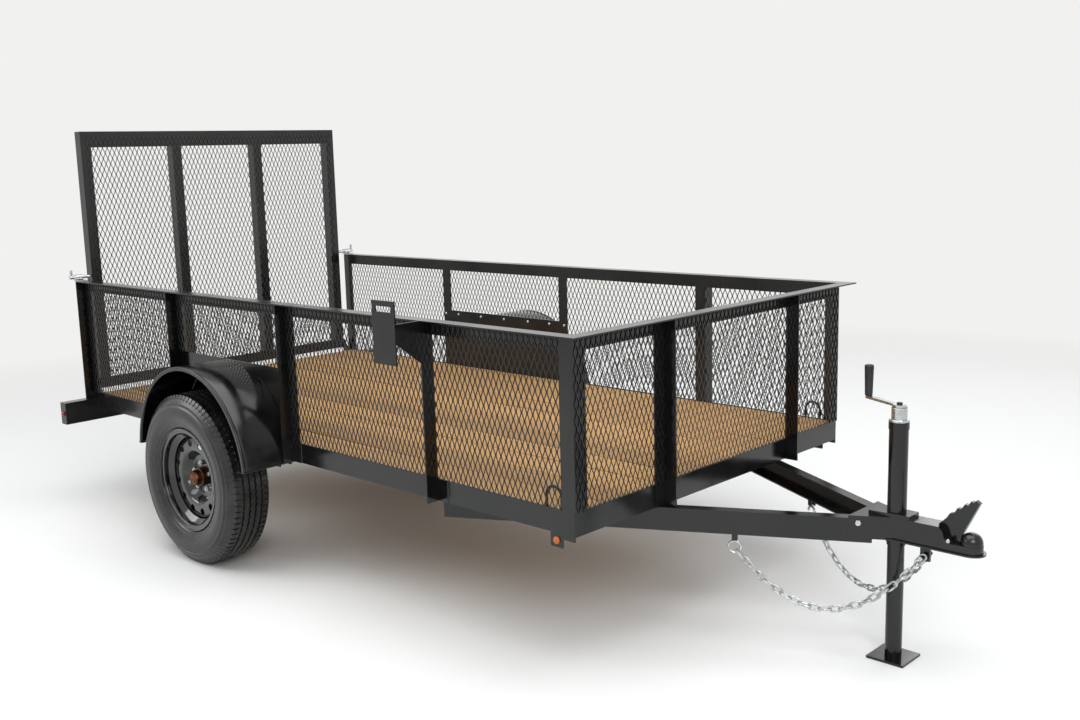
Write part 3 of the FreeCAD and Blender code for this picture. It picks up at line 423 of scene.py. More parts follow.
def makeWheelEnamel():
    # baked gloss enamel on a pressed wheel: mirror-like on the dish, with a little brake dust
    m, tree, shader, coordinate = startMaterial("wheelEnamel", "#0c0d0f", 0.12, settings={"Coat Weight": 0.6})
    dust = addNoise(tree, coordinate, 9.0, 5.0)
    setTone(tree, shader, dust, (0.40, "#0a0b0d"), (0.85, "#25221f"))
    setBump(tree, shader, addNoise(tree, coordinate, 1 / 0.004, 1.0), 0.05, 0.0003)
    return m


def makeTreatedPine(count):
    # pressure-treated pine boards: golden tan with grain along each board and a tone of its own per board,
    # read off the whole part of y / board width
    m, tree, shader, coordinate = startMaterial("treatedPine", "#7d5c3e", 0.72)
    parts = addNode(tree, "SeparateXYZ", {}, {0: coordinate})
    across = addNode(tree, "Math", {"operation": "DIVIDE", 1: (deckHigh[1] - deckLow[1]) / count},
                     {0: parts.outputs["Y"]})
    shifted = addNode(tree, "Math", {"operation": "ADD", 1: count / 2}, {0: across.outputs[0]})
    board = addNode(tree, "Math", {"operation": "FLOOR"}, {0: shifted.outputs[0]})
    own = addNode(tree, "TexWhiteNoise", {"noise_dimensions": "1D"}, {"W": board.outputs[0]}).outputs["Value"]
    slide = addNode(tree, "Math", {"operation": "MULTIPLY", 1: 7.0}, {0: own})
    moved = addNode(tree, "CombineXYZ", {}, {"X": slide.outputs[0], "Z": slide.outputs[0]})
    place = addNode(tree, "VectorMath", {"operation": "ADD"}, {0: coordinate, 1: moved.outputs[0]})
    stretch = addNode(tree, "Mapping", {"Scale": (1.2, 26.0, 26.0)}, {"Vector": place.outputs[0]}).outputs[0]
    # early and late wood about 6 mm apart, bent by a slow noise along the board
    grain = addNoise(tree, stretch, 1.6, 5.0, distortion=0.8)
    rings = addNode(tree, "TexWave", {"bands_direction": "Y", "Scale": 1.9, "Distortion": 5.0, "Detail": 3.0},
                    {"Vector": stretch})
    both = addNode(tree, "Math", {"operation": "ADD"}, {0: grain, 1: rings.outputs[1]})
    half = addNode(tree, "Math", {"operation": "MULTIPLY", 1: 0.5}, {0: both.outputs[0]}).outputs[0]
    tone = addRamp(tree, half, (0.25, "#85603a"), (0.80, "#cda266"))
    tint = addNode(tree, "MapRange", {"To Min": 0.72, "To Max": 1.12}, {"Value": own})
    colour = addNode(tree, "HueSaturation", {}, {"Color": tone, "Value": tint.outputs[0]})
    tree.links.new(colour.outputs[0], shader.inputs["Base Color"])
    setBump(tree, shader, half, 0.35, 0.0008)
    return m


def makeTyreRubber():
    # carbon-black rubber wiped with tyre dressing: near-black with a wet shine, broken by grey dust
    m, tree, shader, coordinate = startMaterial("tyreRubber", "#151617", 0.3)
    dust = addNoise(tree, coordinate, 14.0, 6.0, 0.65)
    setTone(tree, shader, dust, (0.38, "#101112"), (0.78, "#2b2926"))
    setSheen(tree, shader, dust, 0.22, 0.42, 0.35, 0.75)
    setBump(tree, shader, addNoise(tree, coordinate, 1 / 0.0015, 2.0), 0.2, 0.0003)
    return m


def makeZincPlate():
    # bright zinc plate on bolts, pins and hooks: cool grey, lightly clouded
    m, tree, shader, coordinate = startMaterial("zincPlate", "#b6babd", 0.28, 1.0)
    cloud = addNoise(tree, coordinate, 120.0, 4.0)
    setTone(tree, shader, cloud, (0.30, "#adb1b4"), (0.70, "#ced2d4"))
    setSheen(tree, shader, cloud, 0.2, 0.34)
    return m


def makeYellowZinc():
    # yellow-passivated zinc on hubs and grease caps: gone rusty brown, with grease smears
    m, tree, shader, coordinate = startMaterial("yellowZinc", "#7f6238", 0.36, 1.0)
    setTone(tree, shader, addNoise(tree, coordinate, 45.0, 5.0), (0.35, "#33231a"), (0.65, "#7a5238"))
    return m


def makeGalvanisedSteel():
    # hot-dipped chain and screws: pale grey, spangled, dull where the links rub
    m, tree, shader, coordinate = startMaterial("galvanisedSteel", "#a3a6a7", 0.42, 1.0)
    spangle = addNode(tree, "TexVoronoi", {"Scale": 1 / 0.004}, {"Vector": coordinate})
    setSheen(tree, shader, spangle.outputs["Distance"], 0.22, 0.44, end=0.7)
    setTone(tree, shader, addNoise(tree, coordinate, 90.0, 4.0), (0.36, "#9a9d9f"), (0.62, "#d4d7d8"))
    return m


def makeSpringPaint():
    # painted spring leaves and axle tube: satin black gone brown with road dirt
    m, tree, shader, coordinate = startMaterial("dirtySpringPaint", "#17171a", 0.55)
    dirt = addNoise(tree, coordinate, 12.0, 6.0, 0.7)
    setTone(tree, shader, dirt, (0.42, "#121315"), (0.80, "#3a2f27"))
    setBump(tree, shader, dirt, 0.25, 0.0006)
    return m


def makeLens(name, colour, dark):
    # moulded acrylic lens: clear gloss over a coloured body of small cells
    m, tree, shader, coordinate = startMaterial(name, colour, 0.08,
                                                settings={"IOR": 1.49, "Coat Weight": 0.3})
    cells = addNode(tree, "TexVoronoi", {"Scale": 1 / 0.0035, "Randomness": 0.15}, {"Vector": coordinate})
    setTone(tree, shader, cells.outputs["Distance"], (0.10, colour), (0.75, dark))
    setBump(tree, shader, cells.outputs["Distance"], 0.3, 0.0006)
    return m


def makeMouldedRubber():
    # moulded black grip, lamp bodies and crank nut: matt with a fine grain
    m, tree, shader, coordinate = startMaterial("mouldedRubber", "#141416", 0.58)
    setBump(tree, shader, addNoise(tree, coordinate, 1 / 0.0009, 2.0), 0.3, 0.0002)
    setTone(tree, shader, addNoise(tree, coordinate, 22.0, 3.0), (0.35, "#101012"), (0.80, "#242325"))
    return m


glossEnamel = makeBlackEnamel()
sheetEnamel = makeSheetEnamel()
wheelEnamel = makeWheelEnamel()
tyreRubber = makeTyreRubber()
zincPlate = makeZincPlate()
yellowZinc = makeYellowZinc()
galvanisedSteel = makeGalvanisedSteel()
springPaint = makeSpringPaint()
redLens = makeLens("redAcrylic", "#b01117", "#6d090d")
amberLens = makeLens("amberAcrylic", "#d9731a", "#8f420a")
mouldedRubber = makeMouldedRubber()
print("materials made")

# finish of each CAD node that no piece replaces
finishes = {
    glossEnamel: ["side_rail_right", "side_rail_left", "front_rail", "rear_beam", "crossmembers",
                  "posts_right", "posts_left", "posts_front", "top_rail_right", "top_rail_left",
                  "top_rail_front", "fender_frame_right", "fender_frame_left", "gate_frame", "gate_lugs",
                  "tongue_right", "tongue_left", "coupler", "coupler_latch", "jack_tube", "jack_leg",
                  "spare_carrier"],
    springPaint: ["axle", "spring_right", "spring_left", "spring_mounts"],
    zincPlate: ["latch_pins", "jack_crank"],
}
for finish, names in finishes.items():
    for name in names:
        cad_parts[name].data.materials.clear()
        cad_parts[name].data.materials.append(finish)


# Expanded-metal sheets

sheet = {
    "shortWay": 0.0234,          # between the middles of neighbouring diamonds, across
    "longWay": 0.0508,           # the same, up
    "strandWidth": 0.0032,
    "strandThickness": 0.0018,
    "tilt": 12.0,                # degrees that each strand is turned in the sheet
    "knuckle": 0.24,             # share of the length where two strands are still one
    "overlap": 0.0003,
    "fenderGap": 0.001,          # between the sheet and the top of the fender
}


def expandedSheet(width, height, values):
    # strand i zigzags about x = (i + 1/2) * pitch by (-1)^i * reach * wave(z), where wave is a triangle wave
    # of the long way's length, cut off at +-1; depth follows the same wave, so that knuckles line up
    count = max(2, round(width / (values["shortWay"] / 2)))
    pitch = width / count
    half = values["longWay"] / 2
    flat = half * values["knuckle"] / 2
    knots = np.arange(0, math.ceil(height / half) + 1) * half
    z = np.clip(np.sort(np.concatenate([knots - flat, knots + flat])), 0, height)
    phase = (z / values["longWay"]) % 1
    wave = np.clip((4 * np.abs(phase - 0.5) - 1) / (1 - values["knuckle"]), -1, 1)
    sign = np.where(np.arange(count) % 2, -1.0, 1.0)[:, None]
    tilt = math.radians(values["tilt"])
    w, t = values["strandWidth"], values["strandThickness"]
    reach = (pitch - w * math.cos(tilt) + values["overlap"]) / 2
    x = (np.arange(count)[:, None] + 0.5) * pitch + sign * reach * wave
    y = sign * wave * (w / 2) * math.sin(tilt)
    section = np.array([(-1, -1), (1, -1), (1, 1), (-1, 1)]) * (w / 2, t / 2)
    across = section[:, 0] * math.cos(tilt) + section[:, 1] * math.sin(tilt)
    deep = -section[:, 0] * math.sin(tilt) + section[:, 1] * math.cos(tilt)
    grid = np.stack([x[..., None] + across, y[..., None] + deep,
                     np.broadcast_to(z[None, :, None], (*x.shape, len(section)))], -1)
    return closedPart(grid)


def makeSideSheets(values):
    # one sheet between each two posts; start, end and bottom of each bay
    low, high = corners("mesh_right")
    middle = (low[1] + high[1]) / 2
    top = sideTop - angleWall
    bays = [(rearX + angleWall, postBefore - angleWall, railTop),
            (postBefore, postAfter, fenderHigh[2] + values["fenderGap"]),
            (postAfter + angleWall, postSpare, railTop),
            (postSpare + angleWall, frontX - angleLeg, railTop)]
    parts = []
    for start, end, bottom in bays:
        points, quads = expandedSheet(end - start, top - bottom, values)
        parts.append((points * (1, -1, 1) + (start, middle, bottom), quads))
    addPair("sheet", parts, sheetEnamel, node="mesh_{}", weld=False)


def makeFrontSheets(values):
    # three bays between the corners and the two front posts
    low, high = corners("mesh_front")
    postLow, postHigh = corners("posts_front")
    middle = (low[0] + high[0]) / 2
    top = sideTop - angleWall
    right, left = postLow[1] + angleLeg, postHigh[1] - angleLeg
    bays = [(-halfWidth, right - angleWall), (right, left), (left + angleWall, halfWidth)]
    parts = []
    for start, end in bays:
        points, quads = expandedSheet(end - start, top - railTop, values)
        turned = np.stack([middle + points[:, 1], start + points[:, 0], railTop + points[:, 2]], -1)
        parts.append((turned, quads))
    addPiece("sheetFront", parts, sheetEnamel, "chassis", ["mesh_front"], weld=False)


def makeGateSheet(values):
    # one sheet in the plane of the CAD's lattice
    low, high = corners("gate_mesh")
    points, quads = expandedSheet(high[1] - low[1], high[2] - low[2], values)
    middle = (low[0] + high[0]) / 2
    turned = np.stack([middle + points[:, 1], low[1] + points[:, 0], low[2] + points[:, 2]], -1)
    addPiece("sheetGate", [(turned, quads)], sheetEnamel, "gate", ["gate_mesh"], weld=False)


makeSideSheets(sheet)
makeFrontSheets(sheet)
makeGateSheet(sheet)
print("expanded-metal sheets made")


# Deck

planks = {
    "count": 11,
    "edgeRadius": 0.004,
    "gap": 0.004,
    "bow": 0.0012,               # most that a plank sags at its middle
    "steps": 24,                 # along a plank
}


def plankRows(values):
    # distance between neighbouring planks and the y of each plank's middle
    pitch = (deckHigh[1] - deckLow[1] + values["gap"]) / values["count"]
    return pitch, deckLow[1] + (np.arange(values["count"]) + 0.5) * pitch - values["gap"] / 2


def makeDeck(values):
    # each plank is a rounded rectangle carried along x, its height lowered by its own share of the bow times
    # sin(pi s); plank i has the share |sin(1.7 i + 1)|
    pitch, rows = plankRows(values)
    s = np.linspace(0, 1, values["steps"] + 1)
    section = roundedSection(pitch - values["gap"], deckHigh[2] - deckLow[2], values["edgeRadius"])
    middle = (deckHigh[2] + deckLow[2]) / 2
    grids = []
    for i, y in enumerate(rows):
        drop = -values["bow"] * abs(math.sin(1.7 * i + 1)) * np.sin(math.pi * s)
        path = np.stack([deckLow[0] + (deckHigh[0] - deckLow[0]) * s, np.full_like(s, y), middle + drop], -1)
        grids.append(carried(section, path, (0, 0, 1)))
    addPiece("deckPlanks", [closedPart(np.stack(grids))], treatedPine, "chassis", ["deck_boards"])


treatedPine = makeTreatedPine(planks["count"])
makeDeck(planks)
print("deck made")


# Tyres

tyre = {
    "treadHalf": 0.073,
    "crown": 0.0022,
    "pitches": 84,               # blocks round the tread
    "grooveDepth": 0.0065,
    "grooveWidth": 0.0075,
    "grooveFloor": 0.72,         # share of the width that is flat at the bottom
    "grooves": (-0.0405, -0.0135, 0.0135, 0.0405),
    # places between the grooves that the tread's grid also has
    "treadRows": (-0.0615, -0.0545, -0.027, 0.0, 0.027, 0.0545, 0.0615),
    "zigzag": 0.0016,
    "edgeStraight": 0.004,       # strip at each edge of the tread that doesn't zigzag
    "sipeDepth": 0.005,
    # place within one pitch, and share of the sipe's depth there
    "sipe": ((0.0, 0.0), (0.05, 1.0), (0.24, 1.0), (0.29, 0.0), (0.50, 0.0), (0.72, 0.0), (0.90, 0.0)),
    "blockStart": 0.050,         # from the middle, where the sipes begin
    "blockFade": 0.004,
    "notch": 0.6,                # share of the sipe's depth that reaches into the sidewall
    "notchReach": 0.010,
    "bulgeFrom": 0.0785,         # distance outward at both ends of the sidewall
    "bulgeTrim": 0.0012,         # the wall without its ribs is this much inside the widest place
    "wallLow": 0.2075,           # radius where the sidewall starts
    "wallDrop": 0.0135,          # its other end, below the crown's radius
    "wallSteps": 39,
    # radius, height and width of the thin ribs round the sidewall
    "ribs": ((0.2170, 0.0018, 0.0040), (0.2300, 0.0014, 0.0036),
             (0.2940, 0.0026, 0.0045), (0.3120, 0.0020, 0.0040)),
    # distance outward and radius of the bead in the rim
    "bead": ((0.0765, 0.2030), (0.0755, 0.1915), (0.0640, 0.1905)),
}


def tyreGrid(values):
    # tread: radius = R - crown (d / h)^2 - groove(d, angle); sidewall: d = d0 + bulge sin(pi s)^0.75 plus
    # rise * exp(-((r - radius) / width)^2) for each rib
    outer = tyreHigh[2] - wheelZ
    half = (tyreHigh[1] - tyreLow[1]) / 2
    floor = values["grooveFloor"]
    edges = np.array([-1.0, -floor, floor, 1.0]) * values["grooveWidth"] / 2
    ends = np.array([-values["treadHalf"], values["treadHalf"]])
    grooved = (np.array(values["grooves"])[:, None] + edges).ravel()
    d = np.concatenate([ends, grooved, values["treadRows"]])
    dip = np.concatenate([[0, 0], np.tile([0.0, 1.0, 1.0, 0.0], len(values["grooves"])),
                          np.zeros(len(values["treadRows"]))])
    order = np.argsort(d)
    d, dip = d[order], dip[order]
    share, cut = np.array(values["sipe"]).T
    angle = ((np.arange(values["pitches"])[:, None] + share).ravel() / values["pitches"]) * 2 * math.pi
    cut = np.tile(cut, values["pitches"])[:, None]
    swing = values["zigzag"] * np.sin(angle * values["pitches"])[:, None]
    inner = (np.abs(d) < values["treadHalf"] - values["edgeStraight"])[None]
    treadD = d[None] + np.where(inner, swing, 0)
    blocks = np.clip((np.abs(d) - values["blockStart"]) / values["blockFade"], 0, 1)[None]
    depth = np.maximum(values["grooveDepth"] * dip[None], values["sipeDepth"] * cut * blocks)
    treadR = outer - values["crown"] * (d[None] / values["treadHalf"]) ** 2 - depth
    low, high = values["wallLow"], outer - values["wallDrop"]
    s = np.linspace(1, 0, values["wallSteps"] + 1)
    r = low + (high - low) * s
    bulge = half - values["bulgeFrom"] - values["bulgeTrim"]
    wall = values["bulgeFrom"] + bulge * np.sin(math.pi * s) ** 0.75
    for radius, rise, width in values["ribs"]:
        wall = wall + rise * np.exp(-((r - radius) / width) ** 2)
    bead = np.array(values["bead"])
    wall, r = np.concatenate([wall, bead[:, 0]]), np.concatenate([r, bead[:, 1]])
    nearTread = np.clip(1 - (high - r) / values["notchReach"], 0, 1)[None]
    sideD = wall[None] - values["sipeDepth"] * values["notch"] * cut * nearTread
    sideR = np.broadcast_to(r[None], sideD.shape)
    across = np.concatenate([-sideD[:, ::-1], treadD, sideD], 1)
    radius = np.concatenate([sideR[:, ::-1], treadR, sideR], 1)
    a = angle[:, None]
    return np.stack([wheelX + radius * np.cos(a), -tyreY - across, wheelZ + radius * np.sin(a)], -1)


tyreSkin = gridPart(tyreGrid(tyre), wrapRows=True, wrapColumns=True)
addPair("tyre", [tyreSkin], tyreRubber, "wheel_{}", "tyre_{}", crease=50)
print("tyres made")


# Fenders

fender = {
    "wall": 0.0025,
    "width": 0.219,
    "radius": 0.398,
    "endRise": 0.002,            # ends this far above the underside of the frame
    "beadRadius": 0.0046,
    # ways in from the outer edge and down from the sheet where the valley beside the bead bends
    "valley": ((0.020, 0.0004), (0.0125, 0.0034)),
    "flatEnd": 0.08,             # from the inner edge, a point on the flat part
    "lipDepth": 0.016,
    "lipInset": 0.9,             # in walls, from the outer edge
    "sheetShare": 0.8,           # thickness drawn, as a share of the wall
    "beadTurn": (158, -20),      # degrees where the bead's roll starts and ends
    "steps": 84,
}


def fenderGrid(values):
    # section of (across, below the outer radius) turned about the fender's middle: a flat sheet, a shallow
    # valley, a rolled bead along the outer edge and the lip that hangs under it
    wall, width, bead = values["wall"], values["width"], values["beadRadius"]
    turn = np.radians(np.linspace(*values["beadTurn"], 9))
    roll = np.stack([width - bead + bead * np.cos(turn), bead - bead * np.sin(turn)], -1)
    roll = roll - (wall / 2, -wall / 2)
    valley = [(width - back, wall / 2 + down) for back, down in values["valley"]]
    line = np.concatenate([[(0.0, wall / 2), (values["flatEnd"], wall / 2)], valley, roll[1:],
                           [(width - wall * values["lipInset"], values["lipDepth"])]])
    outline = thickened(line, wall * values["sheetShare"])
    centreZ = fenderHigh[2] - values["radius"]
    start = math.asin((railBottom + values["endRise"] - centreZ) / values["radius"])
    angle = np.linspace(start, math.pi - start, values["steps"] + 1)[:, None]
    r = values["radius"] - outline[None, :, 1]
    y = np.broadcast_to(fenderHigh[1] - outline[None, :, 0], (len(angle), len(outline)))
    return np.stack([fenderX + r * np.cos(angle), y, centreZ + r * np.sin(angle)], -1)


addPair("fenderSheet", [closedPart(fenderGrid(fender))], glossEnamel, node="fender_{}", crease=40)
print("fenders made")


# Rims and hubs

rim = {
    "wall": 0.003,
    "segments": 96,
    "holes": 12,
    "holeRadius": 0.015,
    "holeCircle": 0.141,
    "holePhase": 0.4,            # in steps from the front, as in the CAD
    "ringInner": 0.121,
    "ringOuter": 0.161,
    # radii of the dish's rows on either side of the ring with the holes
    "innerRows": (0.041, 0.060, 0.076, 0.082, 0.086, 0.091, 0.098, 0.104, 0.108, 0.112, 0.116),
    "outerRows": (0.164, 0.1665, 0.1690),
    "holeRows": (0.0, 0.12, 0.35, 0.65, 1.0),    # shares of the way from a hole's edge to its sector's border
    "sectorRows": 4,
    # distance outward and radius along the middle of the barrel's sheet, from the well to the lip
    "barrel": ((0.0, 0.1705), (0.036, 0.1705), (0.040, 0.1712), (0.0555, 0.1885), (0.060, 0.1890),
               (0.0745, 0.1890), (0.0772, 0.1915), (0.0775, 0.2020), (0.0790, 0.2058), (0.0820, 0.2065),
               (0.0849, 0.2060)),
    # radius and distance outward of the dish's face
    "dish": ((0.041, 0.003), (0.070, 0.003), (0.082, 0.0036), (0.088, 0.0070), (0.104, 0.0330),
             (0.110, 0.0382), (0.116, 0.0400), (0.138, 0.0412), (0.152, 0.0400), (0.162, 0.0365),
             (0.1690, 0.0290)),
}


def dishHeight(r, values):
    # distance outward of the dish's face at radius r, read off the smooth line through its points
    line = curveThrough(values["dish"], 8)
    return np.interp(r, line[:, 0], line[:, 1])


def wheelPoint(d, r, angle):
    # d outward from the wheel's middle and r from the axle line, on the right-hand wheel
    d, r, angle = np.broadcast_arrays(d, r, angle)
    return np.stack([wheelX + r * np.cos(angle), -tyreY - d, wheelZ + r * np.sin(angle)], -1)


def rimParts(values):
    # dish: rings inside and outside the hand holes, and between them one patch per hole whose rows run
    # from the hole's edge to the border of its sector; the back is the same sheet one wall further in
    wall, n = values["wall"], values["segments"]
    middle = curveThrough(values["barrel"], 3)
    outline = thickened(np.concatenate([middle[:0:-1] * (-1, 1), middle]), wall)
    turn = np.linspace(0, 2 * math.pi, n, endpoint=False)[:, None]
    barrel = wheelPoint(outline[None, :, 0], outline[None, :, 1], turn)
    parts = [gridPart(barrel, wrapRows=True, wrapColumns=True)]
    sector = 2 * math.pi / values["holes"]
    side, per = values["sectorRows"], n // values["holes"]
    inner, outer = values["ringInner"], values["ringOuter"]
    first = values["holePhase"] * sector - sector / 2
    ringTurn = first + turn.T
    across = np.linspace(-sector / 2, sector / 2, per + 1)
    up = np.linspace(inner, outer, side + 1)
    border = np.concatenate([np.stack([across[:-1], np.full(per, inner)], -1),
                             np.stack([np.full(side, across[-1]), up[:-1]], -1),
                             np.stack([across[:0:-1], np.full(per, outer)], -1),
                             np.stack([np.full(side, across[0]), up[:0:-1]], -1)])
    flat = (border - (0, values["holeCircle"])) * (values["holeCircle"], 1)
    heading = np.arctan2(flat[:, 1], flat[:, 0])
    edge = values["holeRadius"] * np.stack([np.cos(heading), np.sin(heading)], -1)
    share = np.array(values["holeRows"])[:, None, None]
    local = edge * (1 - share) + flat * share
    local[-1] = flat
    angle = local[..., 0] / values["holeCircle"]
    radius = local[..., 1] + values["holeCircle"]
    centres = first + sector / 2 + sector * np.arange(values["holes"])
    r = np.broadcast_to(radius, (values["holes"], *radius.shape))
    a = centres[:, None, None] + angle[None]
    inside = np.array([*values["innerRows"], inner])[:, None]
    outside = np.array([outer, *values["outerRows"]])[:, None]
    for back in (0.0, wall):
        for rows in (inside, outside):
            ring = wheelPoint(dishHeight(rows, values) - back, rows, ringTurn)
            parts.append(gridPart(ring, wrapColumns=True))
        parts.append(gridPart(wheelPoint(dishHeight(r, values) - back, r, a), wrapColumns=True))
    # walls of the holes, of the bore and of the dish's outer edge
    depth = np.array([0.0, wall])[:, None]
    hole = dishHeight(r[:, :1], values) - depth[None]
    parts.append(gridPart(wheelPoint(hole, r[:, :1], a[:, :1]), wrapColumns=True))
    for ring in (inside[0], outside[-1]):
        parts.append(gridPart(wheelPoint(dishHeight(ring, values) - depth, ring, ringTurn), wrapColumns=True))
    return parts


addPair("rim", rimParts(rim), wheelEnamel, "wheel_{}", "rim_{}", crease=38)
print("rims made")


hub = {
    "segments": 48,
    # distance outward and radius: bore, hub, flange, then the pressed grease cap
    "outline": ((0.0325, 0.0), (0.0325, 0.01905), (-0.079, 0.01905), (-0.079, 0.038), (-0.010, 0.038),
                (-0.010, 0.072), (0.0, 0.072), (0.0, 0.038), (0.0295, 0.038), (0.0312, 0.0366),
                (0.0315, 0.0318), (0.0340, 0.0310), (0.0480, 0.0302), (0.0545, 0.0282), (0.0582, 0.0240),
                (0.0598, 0.0180), (0.0600, 0.0100), (0.0590, 0.0085), (0.0590, 0.0)),
    "nuts": 5,
    "nutCircle": 0.05715,
    "nutPhase": 0.25,            # in steps from the front
    "nutSeat": 0.0026,           # distance outward
    "nutRadius": 0.011,
    "nutLength": 0.0150,
    "studRadius": 0.0058,
    "studReach": 0.0200,
}


def headsAbout(places, axis, side, up, r, angle):
    # at each place, rows of points up along the axis and r * (cos a, sin a) across it
    third = np.cross(axis, side)
    shape = (up[..., None] * axis + (r * np.cos(angle))[..., None] * side
             + (r * np.sin(angle))[..., None] * third)
    return gridPart(np.asarray(places, float)[:, None, None] + shape, wrapColumns=True)


def hexagonHeads(places, axis, side, corner, height, shank=None, reach=0.0):
    # six-sided head: at angle a the radius is min(apothem / cos(a mod 60 - 30), limit), where the limit
    # shrinks near the top to leave the round chamfer; a thinner round shank may stand above the head
    chamferFrom, chamferTo = 0.82, 0.86      # shares of the height and of the corner
    axis, side = np.asarray(axis, float), np.asarray(side, float)
    angle = np.linspace(0, 2 * math.pi, 24, endpoint=False)
    flat = corner * math.cos(math.pi / 6) / np.cos(np.mod(angle, math.pi / 3) - math.pi / 6)
    rows = [(0.0, 0.0), (0.0, corner), (height * chamferFrom, corner), (height, corner * chamferTo)]
    rows += [(height, shank), (reach, shank), (reach, 0.0)] if shank else [(height, 0.0)]
    up = np.array([row[0] for row in rows])[:, None]
    r = np.minimum(flat[None], np.array([row[1] for row in rows])[:, None])
    return headsAbout(places, axis, side, up, r, angle)


def turnedPart(profile, centre, turns, axis="y"):
    # closed body of revolution: the profile starts and ends on the axis
    return gridPart(np.swapaxes(turnedGrid(profile, centre, turns, axis), 0, 1), wrapColumns=True)


def makeHubs(values):
    # hub turned about the axle, and nut i at the angle (i + phase) / nuts of a turn
    outline = np.array(values["outline"]) * (-1, 1)
    body = [turnedPart(outline, (wheelX, -tyreY, wheelZ), values["segments"])]
    angle = 2 * math.pi * (np.arange(values["nuts"]) + values["nutPhase"]) / values["nuts"]
    places = wheelPoint(values["nutSeat"], values["nutCircle"], angle)
    nuts = [hexagonHeads(places, (0, -1, 0), (1, 0, 0), values["nutRadius"], values["nutLength"],
                         values["studRadius"], values["studReach"])]
    addPair("hub", body, yellowZinc, "wheel_{}", "hub_{}")
    addPair("wheelNuts", nuts, zincPlate, "wheel_{}", crease=25)


makeHubs(hub)
print("hubs and wheel nuts made")


# Safety chains

chain = {
    "rod": 0.007,
    "width": 0.024,
    "slack": 0.00035,
    "pitch": 0.03175,
    "sag": 0.185,
    "pathSteps": 400,
    "tongueBack": 0.640,         # way that the tongue runs back under the frame
    "hookReach": 0.215,          # ahead of the frame's front
    "hookInward": 0.019,         # from the tongue's web
    "hookDrop": 0.014,
    "hookRadius": 0.024,
    "hookRod": 0.009,
    "hookWall": 0.008,
    "hookArc": (-150, 180),      # degrees from the front, open at the rear
    "hookSteps": 33,
    "hookPin": 0.005,
    "hookSlack": 0.0006,
    "boltSide": 0.0175,          # of the chain's end on its bolt, from the middle line
    "boltRadius": 0.0038,
}


def tongueWays():
    # directions along the right-hand tongue and across it to the middle line
    turn = math.atan(tongueSlope)
    return np.array([math.cos(turn), math.sin(turn), 0]), np.array([-math.sin(turn), math.cos(turn), 0])


def placeAlong(path, distances):
    # points and directions at the given distances walked along a line
    step = np.diff(path, axis=0)
    length = np.linalg.norm(step, axis=1)
    walked = np.concatenate([[0], np.cumsum(length)])
    k = np.clip(np.searchsorted(walked, distances) - 1, 0, len(step) - 1)
    share = (distances - walked[k]) / length[k]
    return path[k] + step[k] * share[:, None], step[k] / length[k][:, None]


def linkShape(pitch, values, aroundSteps=20, sectionSteps=8):
    # stadium of round rod in the xy plane: two half circles of radius width / 2 - rod / 2 joined by straights
    half = pitch / 2 + values["rod"] + values["slack"]
    bend = values["width"] / 2 - values["rod"] / 2
    turn = np.linspace(-math.pi / 2, math.pi / 2, aroundSteps // 2)
    right = np.stack([half - values["width"] / 2 + bend * np.cos(turn), bend * np.sin(turn)], -1)
    path = np.concatenate([right, -right])
    path = np.concatenate([path, np.zeros((len(path), 1))], 1)
    return carried(circle(values["rod"] / 2, sectionSteps), path, (0, 0, 1), closed=True)


def hookInner(values):
    # radius at the flats of the hook's inside, which is ten-sided in the CAD
    return (values["hookRadius"] - values["hookRod"]) * math.cos(math.pi / 10)


def hookMiddle(values):
    # along the tongue's web to the hook's place, inward from it, and down from the bracket's lowest point; as
    # that point is 0.023 below the flange, the hook hangs that much too low, under its pin
    along, inward = tongueWays()
    start = np.array([frontX - values["tongueBack"], -tongueSide - tongueSlope * values["tongueBack"], 0])
    reach = (frontX + values["hookReach"] - start[0]) / along[0]
    hook = start + along * reach + inward * values["hookInward"]
    hook[2] = bracketBottom - values["hookDrop"] - hookInner(values) + values["hookPin"] + values["slack"]
    return hook


def chainParts(values):
    # links follow the sagging line hook + span t - sag 4 t (1 - t); every second one stands upright
    hook = hookMiddle(values)
    span = np.array([chainBoltX, -values["boltSide"], chainBoltZ]) - hook
    t = np.linspace(0, 1, values["pathSteps"] + 1)[:, None]
    path = hook + span * t - np.array([0, 0, 1]) * values["sag"] * 4 * t * (1 - t)
    total = np.linalg.norm(np.diff(path, axis=0), axis=1).sum()
    lean = math.atan2(span[1], span[0])
    boltReach = values["boltRadius"] / math.cos(lean) + values["rod"] / 2 * math.tan(lean)
    first = hookInner(values) - values["hookSlack"]
    free = total + boltReach - first
    count = 2 * round(free / values["pitch"] / 2)
    pitch = free / count
    centres, ways = placeAlong(path, first + pitch * (np.arange(count) + 0.5))
    across = unit(np.cross((0, 0, 1), ways))
    up = np.cross(ways, across)
    upright = (np.arange(count) % 2 == 1)[:, None]
    second, third = np.where(upright, up, across), np.where(upright, -across, up)
    basis = np.stack([ways, second, third], 1)
    links = np.einsum("rsk,nkj->nrsj", linkShape(pitch, values), basis) + centres[:, None, None]
    return [gridPart(links, wrapRows=True, wrapColumns=True)]


def hookParts(values):
    # round bar turned about the hook's middle, open at the rear, flattened to the wall's width
    along, inward = tongueWays()
    arc = np.radians(np.linspace(*values["hookArc"], values["hookSteps"] + 1))
    radius = values["hookRadius"] - values["hookRod"] / 2
    flat = np.stack([radius * np.cos(arc), np.zeros_like(arc), radius * np.sin(arc)], -1)
    section = circle(1.0, 10) * (values["hookRod"] / 2, values["hookWall"] / 2)
    bar = carried(section, flat, (0, 1, 0))
    turned = np.einsum("rsk,kj->rsj", bar, np.stack([along, inward, (0, 0, 1)]))
    return [closedPart(turned + hookMiddle(values))]


